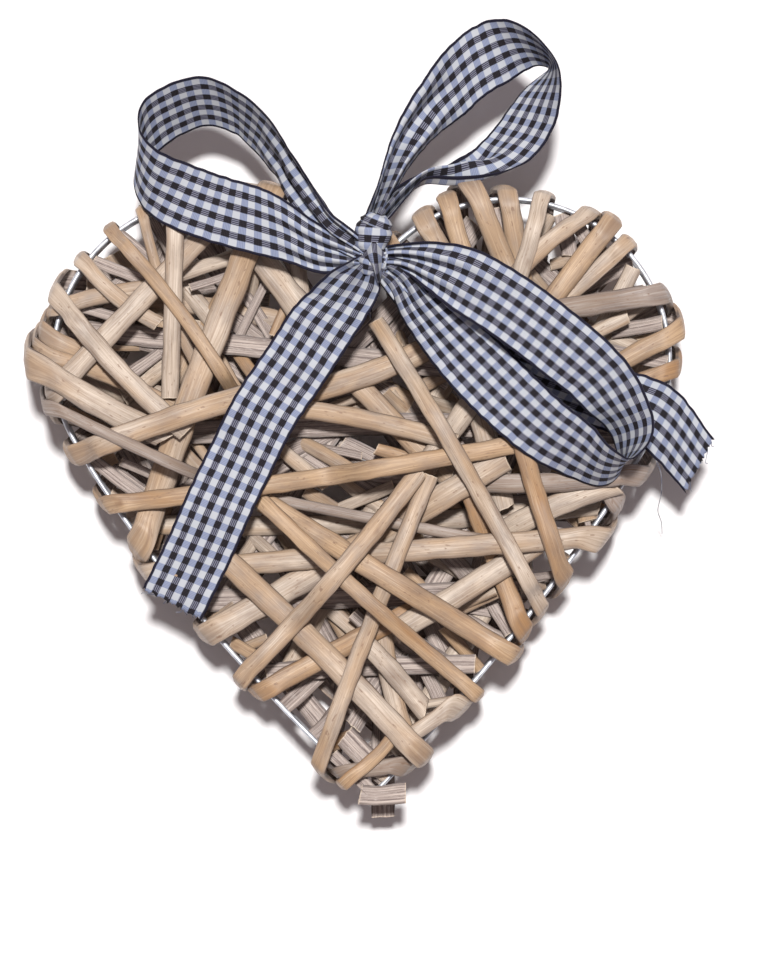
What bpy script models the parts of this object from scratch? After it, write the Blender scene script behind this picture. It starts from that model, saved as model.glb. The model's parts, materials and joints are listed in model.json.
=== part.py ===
"""A heart woven from split willow on a double wire frame, with a gingham ribbon bow and hanging loop.

The heart lies on its back. Its outline is drawn in a plan frame: +X to the right, +Y towards the
hanging loop, Z out of the front, with Z = 0 midway between the two wire hearts. At the end an empty
lifts and centres the whole, so that the object's box has its bottom centre at the world's origin.
"""
import math

import bmesh
import bpy
import numpy as np
from mathutils import Vector

COLLECTION = "woven_willow_heart"
TABLE_UNIT = 0.001

# Wire frame, in metres
LOBE_RADIUS = 0.0470
LOBE_SPREAD = 1.813 * LOBE_RADIUS
TIP_DEPTH = 0.1265
TIP_SHIFT = 0.003
LOBE_LEAVES_AT = math.radians(30.0)
SIDE_FULLNESS = 0.40
WIRE_DIAMETER = 0.0014
WIRE_SPACING = 0.0095
WIRE_POINT_STEP = 0.0130
SPACER_DIAMETER = 0.0012
SPACER_PITCH = 0.026
TOUCH_GAP = 0.0003

# Willow strips
STRIP_THICKNESS_SHARE = 0.26
STRIP_THINNEST = 0.0011
STRIP_THICKEST = 0.0017
CROWN_SHARE = 0.56
STRIP_BOW = 0.010
BEND_RADIUS = 0.10
SETTLING_ROUNDS = 6
SETTLING_SHARE = 0.9
OFFSET_ROUNDS = 3
EDGE_CELLS = 12
RING_STEP = 0.0145
END_RING = 0.0050
RIM_CLEARANCE = 0.0007
STEEPEST_FOLD = 0.62
MOST_DRIFT = 0.40
BACK_RUN_SHORTEST = 0.026
BACK_RUN_SPREAD = 0.042
BACK_RIM_MARGIN = 0.006
CELL = 0.001
PLAN_REACH = 1.26 * TIP_DEPTH

# Ribbon
RIBBON_WIDTH = 0.0195
RIBBON_THICKNESS = 0.0009
RIBBON_LIFT = 0.0006
BOW_KNOT = (0.0035, 0.0285, 0.0205)
BOW_KNOT_SIZE = (0.0070, 0.0062, 0.0055)
LOOP_KNOT = (0.0035, 0.0382, 0.0205)
LOOP_KNOT_SIZE = (0.0050, 0.0030, 0.0050)
STEPS_BETWEEN_POINTS = 2

# Each strip: clock angle where its line meets the rim at both ends (degrees from the notch,
# clockwise seen from the front), width in mm, where it begins and ends along that line (0 and 1
# are folds round the rim, anything between is an end tucked inside), and its shade.
# They are listed in the order in which they are laid, the lowest first.
STRIPS = (
    (-79.8, -13.7, 5.2, 0.00, 0.34, "cream"),
    (-56.4, -178.0, 3.2, 0.00, 0.30, "cream"),
    (-86.2, 150.6, 5.6, 0.00, 0.21, "cream"),
    (-49.0, 139.2, 6.4, 0.46, 0.74, "cream"),
    (24.8, 145.6, 6.6, 0.36, 0.74, "cream"),
    (61.6, -163.4, 6.6, 0.26, 0.56, "cream"),
    (-89.4, 137.1, 4.6, 0.00, 0.25, "cream"),
    (-70.7, 148.0, 4.8, 0.00, 0.17, "cream"),
    (-43.0, 146.4, 8.0, 0.00, 0.36, "cream"),
    (-37.5, -96.0, 6.4, 0.00, 1.00, "cream"),
    (-49.6, -137.0, 5.2, 0.00, 0.53, "cream"),
    (31.1, 118.5, 6.0, 0.60, 1.00, "grey"),
    (-155.2, 114.3, 6.8, 0.70, 0.97, "cream"),
    (15.6, 124.9, 4.4, 0.00, 0.20, "honey"),
    (24.6, 133.1, 6.2, 0.00, 0.30, "cream"),
    (30.4, 134.8, 5.6, 0.00, 0.34, "honey"),
    (42.2, 134.4, 5.8, 0.00, 0.40, "cream"),
    (36.4, 120.0, 6.2, 0.00, 0.42, "cream"),
    (66.4, -143.2, 5.2, 0.00, 0.24, "cream"),
    (57.2, -141.4, 5.2, 0.00, 0.20, "cream"),
    (48.4, -176.8, 5.0, 0.00, 0.30, "cream"),
    (62.0, -165.8, 6.2, 0.00, 0.28, "honey"),
    (79.0, -128.4, 4.2, 0.06, 0.34, "cream"),
    (77.5, -98.2, 6.4, 0.00, 0.32, "grey"),
    (92.0, -125.7, 5.2, 0.00, 0.24, "honey"),
    (85.7, -151.2, 5.8, 0.00, 0.24, "honey"),
    (113.3, -117.3, 5.8, 0.00, 0.34, "grey"),
    (-24.6, 173.0, 5.8, 0.74, 0.97, "cream"),
    (-163.8, 121.2, 6.0, 0.00, 0.46, "honey"),
    (11.1, 148.9, 5.8, 0.60, 1.00, "honey"),
    (117.7, -166.5, 7.0, 0.24, 0.66, "cream"),
    (-111.9, 72.2, 7.0, 0.38, 0.62, "cream"),
    (-91.0, 113.5, 5.5, 0.36, 0.70, "cream"),
    (-32.0, -129.6, 7.9, 0.00, 1.00, "cream"),
    (90.0, -151.3, 7.6, 0.36, 1.00, "cream"),
    (-110.4, 132.9, 3.3, 0.32, 0.815, "grey"),
    (-137.0, 128.2, 6.4, 0.00, 1.00, "cream"),
    (-92.8, 148.9, 7.4, 0.00, 0.25, "cream"),
    (-62.9, 163.0, 4.2, 0.00, 0.34, "honey"),
    (-79.2, 165.6, 5.8, 0.00, 0.32, "cream"),
    (-108.4, 71.4, 6.8, 0.00, 0.35, "cream"),
    (-99.5, 148.7, 3.5, 0.00, 0.37, "grey"),
    (-78.2, 168.3, 5.8, 0.80, 0.97, "cream"),
    (165.4, -178.6, 4.7, 0.00, 0.55, "cream"),
    (-178.0, 174.5, 4.6, 0.00, 1.00, "grey"),
    (-178.6, 135.7, 4.1, 0.00, 0.20, "honey"),
    (-96.0, 172.1, 7.2, 0.44, 1.00, "cream"),
    (47.5, -174.5, 5.0, 0.50, 1.00, "cream"),
    (-92.3, 154.2, 6.4, 0.47, 1.00, "honey"),
    (-81.8, 161.8, 4.7, 0.47, 1.00, "honey"),
    (64.7, -160.0, 5.5, 0.53, 1.00, "cream"),
    (-120.2, 101.3, 5.5, 0.00, 0.86, "honey"),
    (-12.9, 143.8, 5.0, 0.19, 1.00, "cream"),
    (29.9, 136.6, 5.5, 0.62, 1.00, "honey"),
)
# One short end that lies only behind the frame: how far to the right of the tip it lies, how far above
# the tip it begins, how far below the tip it ends, its width, all in mm, and its shade.
TIP_TAIL = (3.3, 27.1, 6.9, 6.7, "grey")


def lobe(side, bearings):
    """Points of one lobe: a circle of LOBE_RADIUS about its centre, at bearings from +X."""
    centre = side * LOBE_SPREAD / 2
    return np.stack([centre + side * LOBE_RADIUS * np.cos(bearings), LOBE_RADIUS * np.sin(bearings)], 1)


def side_curve(side, shares):
    """One side of the heart: a parabola that leaves the lobe along its tangent and ends at the tip."""
    start = lobe(side, np.array([-LOBE_LEAVES_AT]))[0]
    tip = np.array([TIP_SHIFT, -TIP_DEPTH])
    tangent = np.array([-side * math.sin(LOBE_LEAVES_AT), -math.cos(LOBE_LEAVES_AT)])
    bend = start + tangent * SIDE_FULLNESS * np.linalg.norm(tip - start)
    t = shares[:, None]
    return start * (1 - t) ** 2 + bend * 2 * t * (1 - t) + tip * t**2


def heart_outline(step):
    """The heart's outline, clockwise from the notch, with points a step apart."""
    notch = math.pi - math.acos(LOBE_SPREAD / 2 / LOBE_RADIUS)
    sweep = notch + LOBE_LEAVES_AT
    bearings = np.linspace(notch, -LOBE_LEAVES_AT, max(8, round(sweep * LOBE_RADIUS / step)) + 1)
    side_steps = max(6, round(math.hypot(LOBE_SPREAD / 2 + LOBE_RADIUS, TIP_DEPTH) * 0.8 / step))
    shares = np.linspace(0.0, 1.0, side_steps + 1)
    right = np.concatenate([lobe(1, bearings), side_curve(1, shares)[1:]])
    left = np.concatenate([lobe(-1, bearings), side_curve(-1, shares)[1:]])
    return np.concatenate([right, left[::-1][1:-1]])


class Rim:
    """The outline as a closed run: places and outward normals by distance from the notch."""

    def __init__(self):
        points = heart_outline(CELL / 2)
        closed = np.concatenate([points, points[:1]])
        steps = np.linalg.norm(np.diff(closed, axis=0), axis=1)
        self.stations = np.concatenate([[0.0], np.cumsum(steps)])
        self.length = self.stations[-1]
        self.points = closed
        along = np.roll(points, -1, axis=0) - np.roll(points, 1, axis=0)
        along /= np.linalg.norm(along, axis=1)[:, None]
        outward = np.stack([-along[:, 1], along[:, 0]], 1)
        self.normals = np.concatenate([outward, outward[:1]])
        clock = np.unwrap(np.arctan2(closed[1:-1, 0], closed[1:-1, 1]))
        self.clock = np.concatenate([[0.0], clock, [2 * math.pi]])

    def at(self, station):
        """Place, outward normal and clockwise tangent at a distance along the rim."""
        s = station % self.length
        place = np.array([np.interp(s, self.stations, self.points[:, k]) for k in (0, 1)])
        normal = np.array([np.interp(s, self.stations, self.normals[:, k]) for k in (0, 1)])
        normal /= np.linalg.norm(normal)
        return place, normal, np.array([normal[1], -normal[0]])

    def station(self, degrees):
        """Distance along the rim of a clock angle."""
        return float(np.interp(math.radians(degrees % 360.0), self.clock, self.stations))

    def across(self, place, heading):
        """Distance from a place on the rim to the rim ahead of it, along a heading."""
        reach = np.arange(4 * CELL, 2 * PLAN_REACH, CELL)
        track = place + reach[:, None] * heading
        to_track = np.linalg.norm(track[:, None, :] - self.points[None, ::8, :], axis=2)
        near = to_track.min(axis=1) < 5 * CELL
        left_start = np.maximum.accumulate(~near)
        hit = np.nonzero(near & left_start)[0]
        return float(reach[hit[0]]) if len(hit) else float(reach[-1])


class Layers:
    """How high the strips laid so far reach: in plan for each face, and round the rim's edge."""

    def __init__(self, rim):
        self.rim = rim
        self.floor = WIRE_SPACING / 2 + WIRE_DIAMETER / 2 + RIM_CLEARANCE
        cells = int(2 * PLAN_REACH / CELL)
        self.faces = {1: np.full((cells, cells), self.floor), -1: np.full((cells, cells), self.floor)}
        self.edge = np.full((int(rim.length / CELL) + 1, EDGE_CELLS), WIRE_DIAMETER / 2 + RIM_CLEARANCE)

    def cells(self, places):
        index = np.clip(((places + PLAN_REACH) / CELL).astype(int), 0, self.faces[1].shape[0] - 1)
        return index[..., 0], index[..., 1]

    def read(self, face, places):
        """The greatest height under each row of places."""
        return self.faces[face][self.cells(places)].max(axis=-1)

    def lay(self, face, places, heights):
        rows, columns = self.cells(places)
        tops = np.broadcast_to(heights[:, None], rows.shape)
        np.maximum.at(self.faces[face], (rows, columns), tops)

    def edge_cells(self, station, drift, half_width):
        """Cells of the rim's edge that a fold covers, from the front face round to the back."""
        shares = np.linspace(0.0, 1.0, self.edge.shape[1])
        centres = station + drift * shares
        spread = np.arange(-half_width - TOUCH_GAP, half_width + TOUCH_GAP + CELL / 2, CELL / 2)
        places = (centres[:, None] + spread[None, :]) % self.rim.length
        rows = (places / CELL).astype(int)
        columns = np.broadcast_to(np.arange(self.edge.shape[1])[:, None], rows.shape)
        return rows, columns


def footprint(start, heading, reaches, half_width, bow, length):
    """Plan places across a strip at each reach along it, with its sideways bow."""
    side = np.array([-heading[1], heading[0]])
    across = np.arange(-half_width - TOUCH_GAP, half_width + TOUCH_GAP + CELL / 2, CELL / 2)
    sag = 4 * bow * (reaches / length) * (1 - reaches / length)
    centres = start + reaches[:, None] * heading + sag[:, None] * side
    return centres[:, None, :] + across[None, :, None] * side


def run_heights(needed, reaches, rings, least):
    """Least heights at a springy strip's rings that clear all beneath it and bend no tighter than allowed."""
    last = len(rings) - 1
    heights = np.zeros(last + 1)
    for i, ring in enumerate(rings):
        beside = (reaches >= rings[max(i - 1, 0)] - CELL) & (reaches <= rings[min(i + 1, last)] + CELL)
        heights[i] = needed[beside].max()
    heights[0] = max(heights[0], least[0])
    heights[-1] = max(heights[-1], least[1])
    for _ in range(SETTLING_ROUNDS):
        for i in range(last + 1):
            low = least[0] if i == 0 else least[1] if i == last else 0.0
            for j in (i - 1, i + 1):
                if not 0 <= j <= last:
                    continue
                share = np.abs(reaches - rings[i]) / abs(rings[j] - rings[i])
                between = (share <= SETTLING_SHARE) & ((reaches - rings[i]) * (j - i) >= -CELL)
                lifted = (needed[between] - share[between] * heights[j]) / (1 - share[between])
                low = max(low, lifted.max())
            if 0 < i < last:
                before, after = rings[i] - rings[i - 1], rings[i + 1] - rings[i]
                chord = (heights[i - 1] * after + heights[i + 1] * before) / (before + after)
                low = max(low, chord - before * after / (2 * BEND_RADIUS))
            heights[i] = min(heights[i], low)
    return heights


def ring_places(length, start_shear, end_shear):
    """Reaches of the rings along a run: close to both ends, evenly spread between."""
    first = min(END_RING + abs(start_shear), length * 0.3)
    last = length - min(END_RING + abs(end_shear), length * 0.3)
    inner = np.linspace(first, last, max(2, round((last - first) / RING_STEP) + 1))
    return np.concatenate([[0.0], inner, [length]])


def face_run(layers, face, start, heading, length, half_width, thickness, bow, shears, held):
    """Rings of one run over a face, and its heights; held fixes the least height at each end."""
    reaches = np.arange(0.0, length + CELL / 2, CELL / 2)
    places = footprint(start, heading, reaches, half_width, bow, length)
    needed = layers.read(face, places) + TOUCH_GAP
    rings = ring_places(length, shears[0] * half_width, shears[1] * half_width)
    heights = run_heights(needed, reaches, rings, held)
    side = np.array([-heading[1], heading[0]])
    rows = []
    for i, ring in enumerate(rings):
        sag = 4 * bow * (ring / length) * (1 - ring / length)
        shear = shears[0] if i == 0 else shears[1] if i == len(rings) - 1 else 0.0
        centre = start + ring * heading + sag * side
        offset = half_width * (side + shear * heading)
        left = np.array([*(centre + offset), face * heights[i]])
        right = np.array([*(centre - offset), face * heights[i]])
        up = np.array([0.0, 0.0, float(face)])
        rows.append((left, right, up, up))
    tops = np.interp(reaches, rings, heights) + thickness
    layers.lay(face, places, tops)
    return rows


def rim_fold(layers, station, slope, drift, half_width, thickness):
    """Rings of a fold round both wires, from the front to the back, and how far off the wires it lies.

    slope is how far the strip slants from square to the rim, and drift how much of that slant it
    keeps on its way round the edge.
    """
    along_rim = half_width * math.hypot(1.0, slope)
    offset = WIRE_DIAMETER / 2 + RIM_CLEARANCE
    for _ in range(OFFSET_ROUNDS):
        way_round = WIRE_SPACING + math.pi * offset
        rows, columns = layers.edge_cells(station, drift * way_round, along_rim)
        offset = max(offset, float(layers.edge[rows, columns].max()) + TOUCH_GAP)
    np.maximum.at(layers.edge, (rows, columns), offset + thickness)
    corner = offset * math.pi / 2
    half = WIRE_SPACING / 2
    diagonal = offset * math.sqrt(0.5)
    profile = (
        (corner / 2, diagonal, half + diagonal, 0.25),
        (corner, offset, half, 0.5),
        (corner + 2 * half, offset, -half, 0.5),
        (corner * 1.5 + 2 * half, diagonal, -half - diagonal, 0.75),
        (corner * 2 + 2 * half, 0.0, -half - offset, 1.0),
    )
    rings = []
    for way, out, height, turn in profile:
        edges = []
        for sign in (1, -1):
            place, normal, _ = layers.rim.at(station + drift * way + sign * along_rim)
            lean = turn * math.pi
            outward = np.array([*(normal * math.sin(lean)), math.cos(lean)])
            edges.append((np.array([*(place + normal * out), height]), outward))
        rings.append((edges[0][0], edges[1][0], edges[0][1], edges[1][1]))
    exit_station = station + drift * profile[-1][0]
    outwards = np.arange(-END_RING / 2, offset + thickness + CELL, CELL / 2)[None, :, None]
    for face, middle in ((1, station), (-1, exit_station)):
        spread = np.arange(middle - along_rim, middle + along_rim + CELL / 2, CELL / 2)
        spots = [layers.rim.at(s) for s in spread]
        places = np.array([spot[0] for spot in spots])[:, None, :]
        places = places + np.array([spot[1] for spot in spots])[:, None, :] * outwards
        layers.lay(face, places, np.full(len(spread), half + offset + thickness))
    return rings, offset, exit_station


def lay_strip(layers, number, row):
    """All the rings of one strip, end to end: back run, fold, front run, fold, back run."""
    from_clock, to_clock, width, begins, ends, _ = row
    half_width = width * TABLE_UNIT / 2
    thickness = min(max(2 * half_width * STRIP_THICKNESS_SHARE, STRIP_THINNEST), STRIP_THICKEST)
    stations = [layers.rim.station(from_clock), layers.rim.station(to_clock)]
    spots = [layers.rim.at(s) for s in stations]
    span = spots[1][0] - spots[0][0]
    length = float(np.linalg.norm(span))
    heading = span / length
    folded = (begins == 0.0, ends == 1.0)
    slopes = []
    for (_, normal, tangent), way in zip(spots, (-1, 1)):
        out = max(float(way * heading @ normal), STEEPEST_FOLD)
        slopes.append(float(way * heading @ tangent) / out)
    bow = STRIP_BOW * length * (1 if number % 2 else -1) * (0.6 + 0.4 * math.sin(number))
    start = spots[0][0] + heading * length * begins
    run = length * (ends - begins)
    tail_rings = []
    offsets = [0.0, 0.0]
    for k in (0, 1):
        if not folded[k]:
            tail_rings.append([])
            continue
        drift = max(min(slopes[k], MOST_DRIFT), -MOST_DRIFT)
        rings, offsets[k], exit_station = rim_fold(
            layers, stations[k], slopes[k], drift, half_width, thickness
        )
        place, normal, tangent = layers.rim.at(exit_station)
        back_heading = -normal + slopes[k] * tangent
        back_heading /= np.linalg.norm(back_heading)
        variety = (number * 0.618 + 0.5 * k) % 1.0
        clear = layers.rim.across(place, back_heading) - BACK_RIM_MARGIN
        back_length = min(BACK_RUN_SHORTEST + BACK_RUN_SPREAD * variety, clear)
        held = (WIRE_SPACING / 2 + offsets[k], 0.0)
        back_bow = STRIP_BOW * back_length * (1 if k else -1)
        side = np.array([-back_heading[1], back_heading[0]])
        shear = float(tangent @ back_heading) / float(tangent @ side)
        back = face_run(
            layers, -1, place, back_heading, back_length, half_width, thickness, back_bow, (shear, 0.0), held
        )
        tail_rings.append((rings, back[1:]))
    held = [WIRE_SPACING / 2 + offsets[k] if folded[k] else 0.0 for k in (0, 1)]
    side = np.array([-heading[1], heading[0]])
    shears = []
    for k in (0, 1):
        tangent = spots[k][2]
        steep = float(tangent @ heading) / float(tangent @ side)
        shears.append(max(min(steep, 1 / STEEPEST_FOLD), -1 / STEEPEST_FOLD) if folded[k] else 0.0)
    front = face_run(layers, 1, start, heading, run, half_width, thickness, bow, shears, held)
    chain = list(front)
    if tail_rings[1]:
        fold, back = tail_rings[1]
        chain += align(chain[-1], fold) + align(chain[-1], back)
    if tail_rings[0]:
        fold, back = tail_rings[0]
        chain = (align(chain[0], fold) + align(chain[0], back))[::-1] + chain
    return chain, thickness


def lay_tip_tail(layers, row):
    """The rings of the short end behind the tip."""
    right, above, below, width, _ = row
    tip = np.array([TIP_SHIFT, -TIP_DEPTH])
    start = tip + np.array([right, above]) * TABLE_UNIT
    down = np.array([0.0, -1.0])
    length, half_width = (above + below) * TABLE_UNIT, width * TABLE_UNIT / 2
    return face_run(
        layers, -1, start, down, length, half_width, STRIP_THICKEST, 0.0, (0.0, 0.0), (0.0, 0.0)
    )


def align(anchor, rings):
    """The rings with left and right as in the ring that they carry on from."""
    if not rings:
        return []
    first = rings[0]
    straight = np.linalg.norm(first[0] - anchor[0]) + np.linalg.norm(first[1] - anchor[1])
    swapped = np.linalg.norm(first[1] - anchor[0]) + np.linalg.norm(first[0] - anchor[1])
    return list(rings) if straight <= swapped else [(r, l, rn, ln) for l, r, ln, rn in rings]


def loft(name, sections):
    """A closed mesh object through sections of equal vertex count, with flat ends."""
    count = len(sections[0])
    vertices = np.concatenate([np.asarray(s) for s in sections])
    faces = [tuple(range(count)), tuple(range(len(vertices) - 1, len(vertices) - 1 - count, -1))]
    for ring in range(len(sections) - 1):
        low = ring * count
        for k in range(count):
            nxt = (k + 1) % count
            faces.append((low + k, low + count + k, low + count + nxt, low + nxt))
    mesh = bpy.data.meshes.new(name)
    mesh.from_pydata([tuple(v) for v in vertices], [], faces)
    body = bmesh.new()
    body.from_mesh(mesh)
    bmesh.ops.triangulate(body, faces=body.faces[:])
    bmesh.ops.recalc_face_normals(body, faces=body.faces[:])
    body.to_mesh(mesh)
    body.free()
    return bpy.data.objects.new(name, mesh)


def strip_sections(chain, thickness):
    """Split-willow section at each ring: a flat inner side and a narrower flat crown."""
    sections = []
    for left, right, left_up, right_up in chain:
        inset = (right - left) * (1 - CROWN_SHARE) / 2
        crown_left = left + inset + left_up * thickness
        crown_right = right - inset + right_up * thickness
        sections.append((left, right, crown_right, crown_left))
    return sections


def wire(name, points, diameter, cyclic):
    """A round wire along points."""
    curve = bpy.data.curves.new(name, "CURVE")
    curve.dimensions = "3D"
    curve.bevel_depth = diameter / 2
    curve.bevel_resolution = 2
    curve.use_fill_caps = not cyclic
    spline = curve.splines.new("POLY")
    spline.points.add(len(points) - 1)
    for target, point in zip(spline.points, points):
        target.co = (*point, 1.0)
    spline.use_cyclic_u = cyclic
    return bpy.data.objects.new(name, curve)


def spacer_points(rim):
    """The bent spacer wire: up and down between the wire hearts, all the way round inside them."""
    swing = WIRE_SPACING / 2 - WIRE_DIAMETER / 2 - TOUCH_GAP - SPACER_DIAMETER / 2
    bends = 2 * round(rim.length / SPACER_PITCH)
    margin = SPACER_PITCH / 4
    points = []
    for k in range(bends):
        station = margin + (rim.length - 2 * margin) * k / (bends - 1)
        place, _, _ = rim.at(station)
        points.append((*place, swing if k % 2 else -swing))
    return points


def smooth_rows(rows, steps):
    """Points of a smooth curve through rows of numbers (Catmull-Rom), steps to each stretch."""
    rows = np.array(rows, dtype=float)
    padded = np.concatenate([[2 * rows[0] - rows[1]], rows, [2 * rows[-1] - rows[-2]]])
    out = []
    for k in range(1, len(padded) - 2):
        a, b, c, d = padded[k - 1], padded[k], padded[k + 1], padded[k + 2]
        for t in np.arange(steps) / steps:
            curve = 2 * b + (c - a) * t + (2 * a - 5 * b + 4 * c - d) * t**2 + (3 * b - a - 3 * c + d) * t**3
            out.append(0.5 * curve)
    out.append(rows[-1])
    return np.array(out)


def ribbon_rows(points):
    """Centre, width vector from each point: x, y, z in mm, heading and tilt in degrees, share of width."""
    rows = []
    for x, y, z, heading, tilt, share in points:
        bearing, lean = math.radians(heading), math.radians(tilt)
        flat = math.cos(lean)
        across = np.array([math.cos(bearing) * flat, math.sin(bearing) * flat, math.sin(lean)])
        rows.append([x * TABLE_UNIT, y * TABLE_UNIT, z * TABLE_UNIT, *(across * share)])
    return smooth_rows(rows, STEPS_BETWEEN_POINTS)


def ribbon(name, points, layers=None):
    """A band of ribbon through the points, lifted clear of the strips where layers are given."""
    rows = ribbon_rows(points)
    centres, across = rows[:, :3].copy(), rows[:, 3:] * RIBBON_WIDTH / 2
    if layers is not None:
        span = np.linspace(-1.0, 1.0, 13)
        for _ in range(2):
            for k in range(len(centres)):
                near = range(max(k - 1, 0), min(k + 2, len(centres)))
                for other in near:
                    ways = np.linspace(0.0, 1.0, 9)[:, None, None]
                    centre = centres[k] * (1 - ways) + centres[other] * ways
                    wide = across[k] * (1 - ways) + across[other] * ways
                    places = centre[..., :2] + wide[..., :2] * span[None, :, None]
                    tops = layers.faces[1][layers.cells(places)]
                    low = centre[..., 2] + wide[..., 2] * span[None, :]
                    lift = (tops + RIBBON_LIFT + RIBBON_THICKNESS / 2 - low)[tops > layers.floor]
                    if lift.size and lift.max() > 0:
                        centres[k, 2] += lift.max()
    along = np.gradient(centres, axis=0)
    faces = np.cross(along, across)
    faces *= RIBBON_THICKNESS / 2 / np.linalg.norm(faces, axis=1)[:, None]
    sections = []
    for centre, wide, thick in zip(centres, across, faces):
        sections.append(
            (centre - wide - thick, centre + wide - thick, centre + wide + thick, centre - wide + thick)
        )
    return loft(name, sections)


def knot(name, centre, radii):
    """A knot's body: a squashed ball."""
    body = bmesh.new()
    bmesh.ops.create_uvsphere(body, u_segments=12, v_segments=7, radius=1.0)
    bmesh.ops.scale(body, vec=radii, verts=body.verts[:])
    bmesh.ops.translate(body, vec=centre, verts=body.verts[:])
    mesh = bpy.data.meshes.new(name)
    body.to_mesh(mesh)
    body.free()
    return bpy.data.objects.new(name, mesh)


def joined(name, pieces, parts, tools):
    """One solid from overlapping pieces of the same ribbon."""
    body = pieces[0]
    body.name = name
    body.data.name = name
    parts.objects.link(body)
    for piece in pieces[1:]:
        tools.objects.link(piece)
        piece.hide_render = True
        piece.display_type = "WIRE"
        union = body.modifiers.new("join_" + piece.name, "BOOLEAN")
        union.operation = "UNION"
        union.object = piece
        union.solver = "EXACT"
        union.use_self = True
    return body


# The ribbon's routes. Each point: x, y, z in mm in the plan frame, heading and tilt of the ribbon's
# width in degrees, and how much of its full width shows there, less where it is gathered.
LEFT_TAIL = (
    (2.0, 27.5, 21.0, -40, 0, 0.30),
    (-3.0, 21.0, 20.5, -32, 0, 0.62),
    (-11.8, 9.5, 19.5, -33, 0, 0.97),
    (-18.8, -1.5, 18.5, -35, 0, 1.0),
    (-27.8, -14.9, 17.0, -29, 0, 1.0),
    (-35.1, -29.4, 16.0, -25, 0, 1.0),
    (-40.7, -41.0, 15.0, -22, 0, 1.0),
    (-47.0, -55.0, 12.5, -21, 0, 1.0),
    (-54.7, -70.5, 10.0, -21, 0, 1.0),
)
LEFT_LOOP = (
    (1.0, 28.5, 20.5, 97, 0, 0.30),
    (-12.7, 32.4, 20.5, 97, 5, 0.78),
    (-24.3, 38.2, 19.0, 95, 8, 1.0),
    (-41.3, 43.3, 18.0, 76, 8, 1.0),
    (-54.4, 48.3, 17.0, 64, 18, 1.0),
    (-61.5, 53.0, 15.5, 68, 38, 1.0),
    (-64.6, 61.0, 13.5, 84, 52, 1.0),
    (-59.2, 70.0, 12.0, 104, 42, 1.0),
    (-47.4, 76.1, 10.0, 103, 46, 1.0),
    (-38.3, 74.6, 9.5, 96, 48, 1.0),
    (-30.2, 67.9, 10.5, 70, 58, 1.0),
    (-24.8, 59.5, 13.0, 58, 60, 0.95),
    (-19.2, 49.9, 16.5, 50, 55, 0.85),
    (-9.5, 38.6, 20.0, 48, 40, 0.55),
    (1.5, 30.5, 21.0, 48, 20, 0.30),
)
RIGHT_LOOP = (
    (4.5, 28.0, 20.5, 42, 0, 0.30),
    (11.8, 24.0, 20.5, 40, 0, 0.50),
    (18.4, 14.5, 20.0, 32, 0, 0.72),
    (32.2, -0.6, 19.5, 42, 0, 0.97),
    (49.4, -17.2, 18.5, 45, 16, 1.0),
    (62.2, -26.4, 18.0, 57, 34, 1.0),
    (71.8, -29.6, 19.5, 78, 56, 1.0),
    (79.2, -26.6, 22.5, 40, 78, 1.0),
    (79.2, -17.2, 25.5, 16, 50, 1.0),
    (70.6, -6.0, 27.5, 36, 24, 1.0),
    (56.4, 4.6, 28.5, 53, 8, 1.0),
    (42.7, 14.9, 28.0, 56, 8, 1.0),
    (30.2, 22.6, 26.5, 63, 10, 0.96),
    (20.6, 26.8, 24.0, 76, 5, 0.72),
    (12.2, 29.2, 22.0, 88, 0, 0.42),
    (4.5, 29.2, 21.0, 90, 0, 0.30),
)
RIGHT_TAIL = (
    (5.0, 27.5, 19.0, 48, 0, 0.30),
    (14.0, 19.5, 17.5, 50, 0, 0.55),
    (28.0, 9.0, 16.0, 52, 0, 0.90),
    (46.2, -2.5, 14.5, 54, 0, 1.0),
    (69.5, -12.0, 13.0, 58, 0, 1.0),
    (85.6, -17.4, 10.5, 66, 4, 1.0),
    (98.2, -30.4, 5.0, 69, 20, 1.0),
)
HANGING_LOOP = (
    (3.0, 38.5, 20.5, 165, 0, 0.30),
    (7.4, 50.0, 17.0, 156, 10, 0.34),
    (12.2, 61.0, 13.0, 146, 20, 0.56),
    (19.6, 72.4, 9.5, 118, 30, 0.88),
    (26.6, 80.0, 8.0, 112, 22, 1.0),
    (35.2, 87.4, 8.0, 108, 10, 1.0),
    (46.6, 91.4, 9.0, 118, 44, 1.0),
    (55.4, 86.0, 10.0, 60, 82, 1.0),
    (51.6, 76.0, 8.5, -10, 52, 1.0),
    (45.6, 65.0, 6.5, -20, 38, 1.0),
    (37.4, 57.6, 6.5, -28, 50, 0.90),
    (27.6, 54.6, 9.0, -58, 50, 0.50),
    (18.6, 52.8, 12.5, -78, 30, 0.36),
    (11.6, 48.4, 16.5, -66, 10, 0.34),
    (4.5, 39.5, 20.0, -40, 0, 0.30),
)
# The hanging ribbon's hidden turn round the two wire hearts at the notch.
NOTCH_TURN = (
    (2.6, 37.4, 19.0, 0, 0, 0.30),
    (1.5, 34.0, 12.0, 0, 0, 0.26),
    (0.6, 31.5, 3.0, 0, 0, 0.26),
    (0.2, 29.5, -6.5, 0, 0, 0.26),
    (0.0, 22.0, -10.5, 0, 0, 0.30),
    (0.0, 16.0, -8.5, 0, 0, 0.30),
    (0.0, 14.0, 0.0, 0, 0, 0.30),
    (0.0, 15.5, 7.0, 0, 0, 0.30),
)

SHADES = {
    "cream": (0.69, 0.53, 0.37),
    "honey": (0.60, 0.39, 0.20),
    "grey": (0.36, 0.29, 0.24),
}


def paint(thing, colour, roughness, metallic=0.0):
    """Give an object its own material."""
    material = bpy.data.materials.new(thing.name)
    material.use_nodes = True
    shader = material.node_tree.nodes["Principled BSDF"]
    shader.inputs["Base Color"].default_value = (*colour, 1.0)
    shader.inputs["Roughness"].default_value = roughness
    shader.inputs["Metallic"].default_value = metallic
    thing.data.materials.clear()
    thing.data.materials.append(material)


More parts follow.
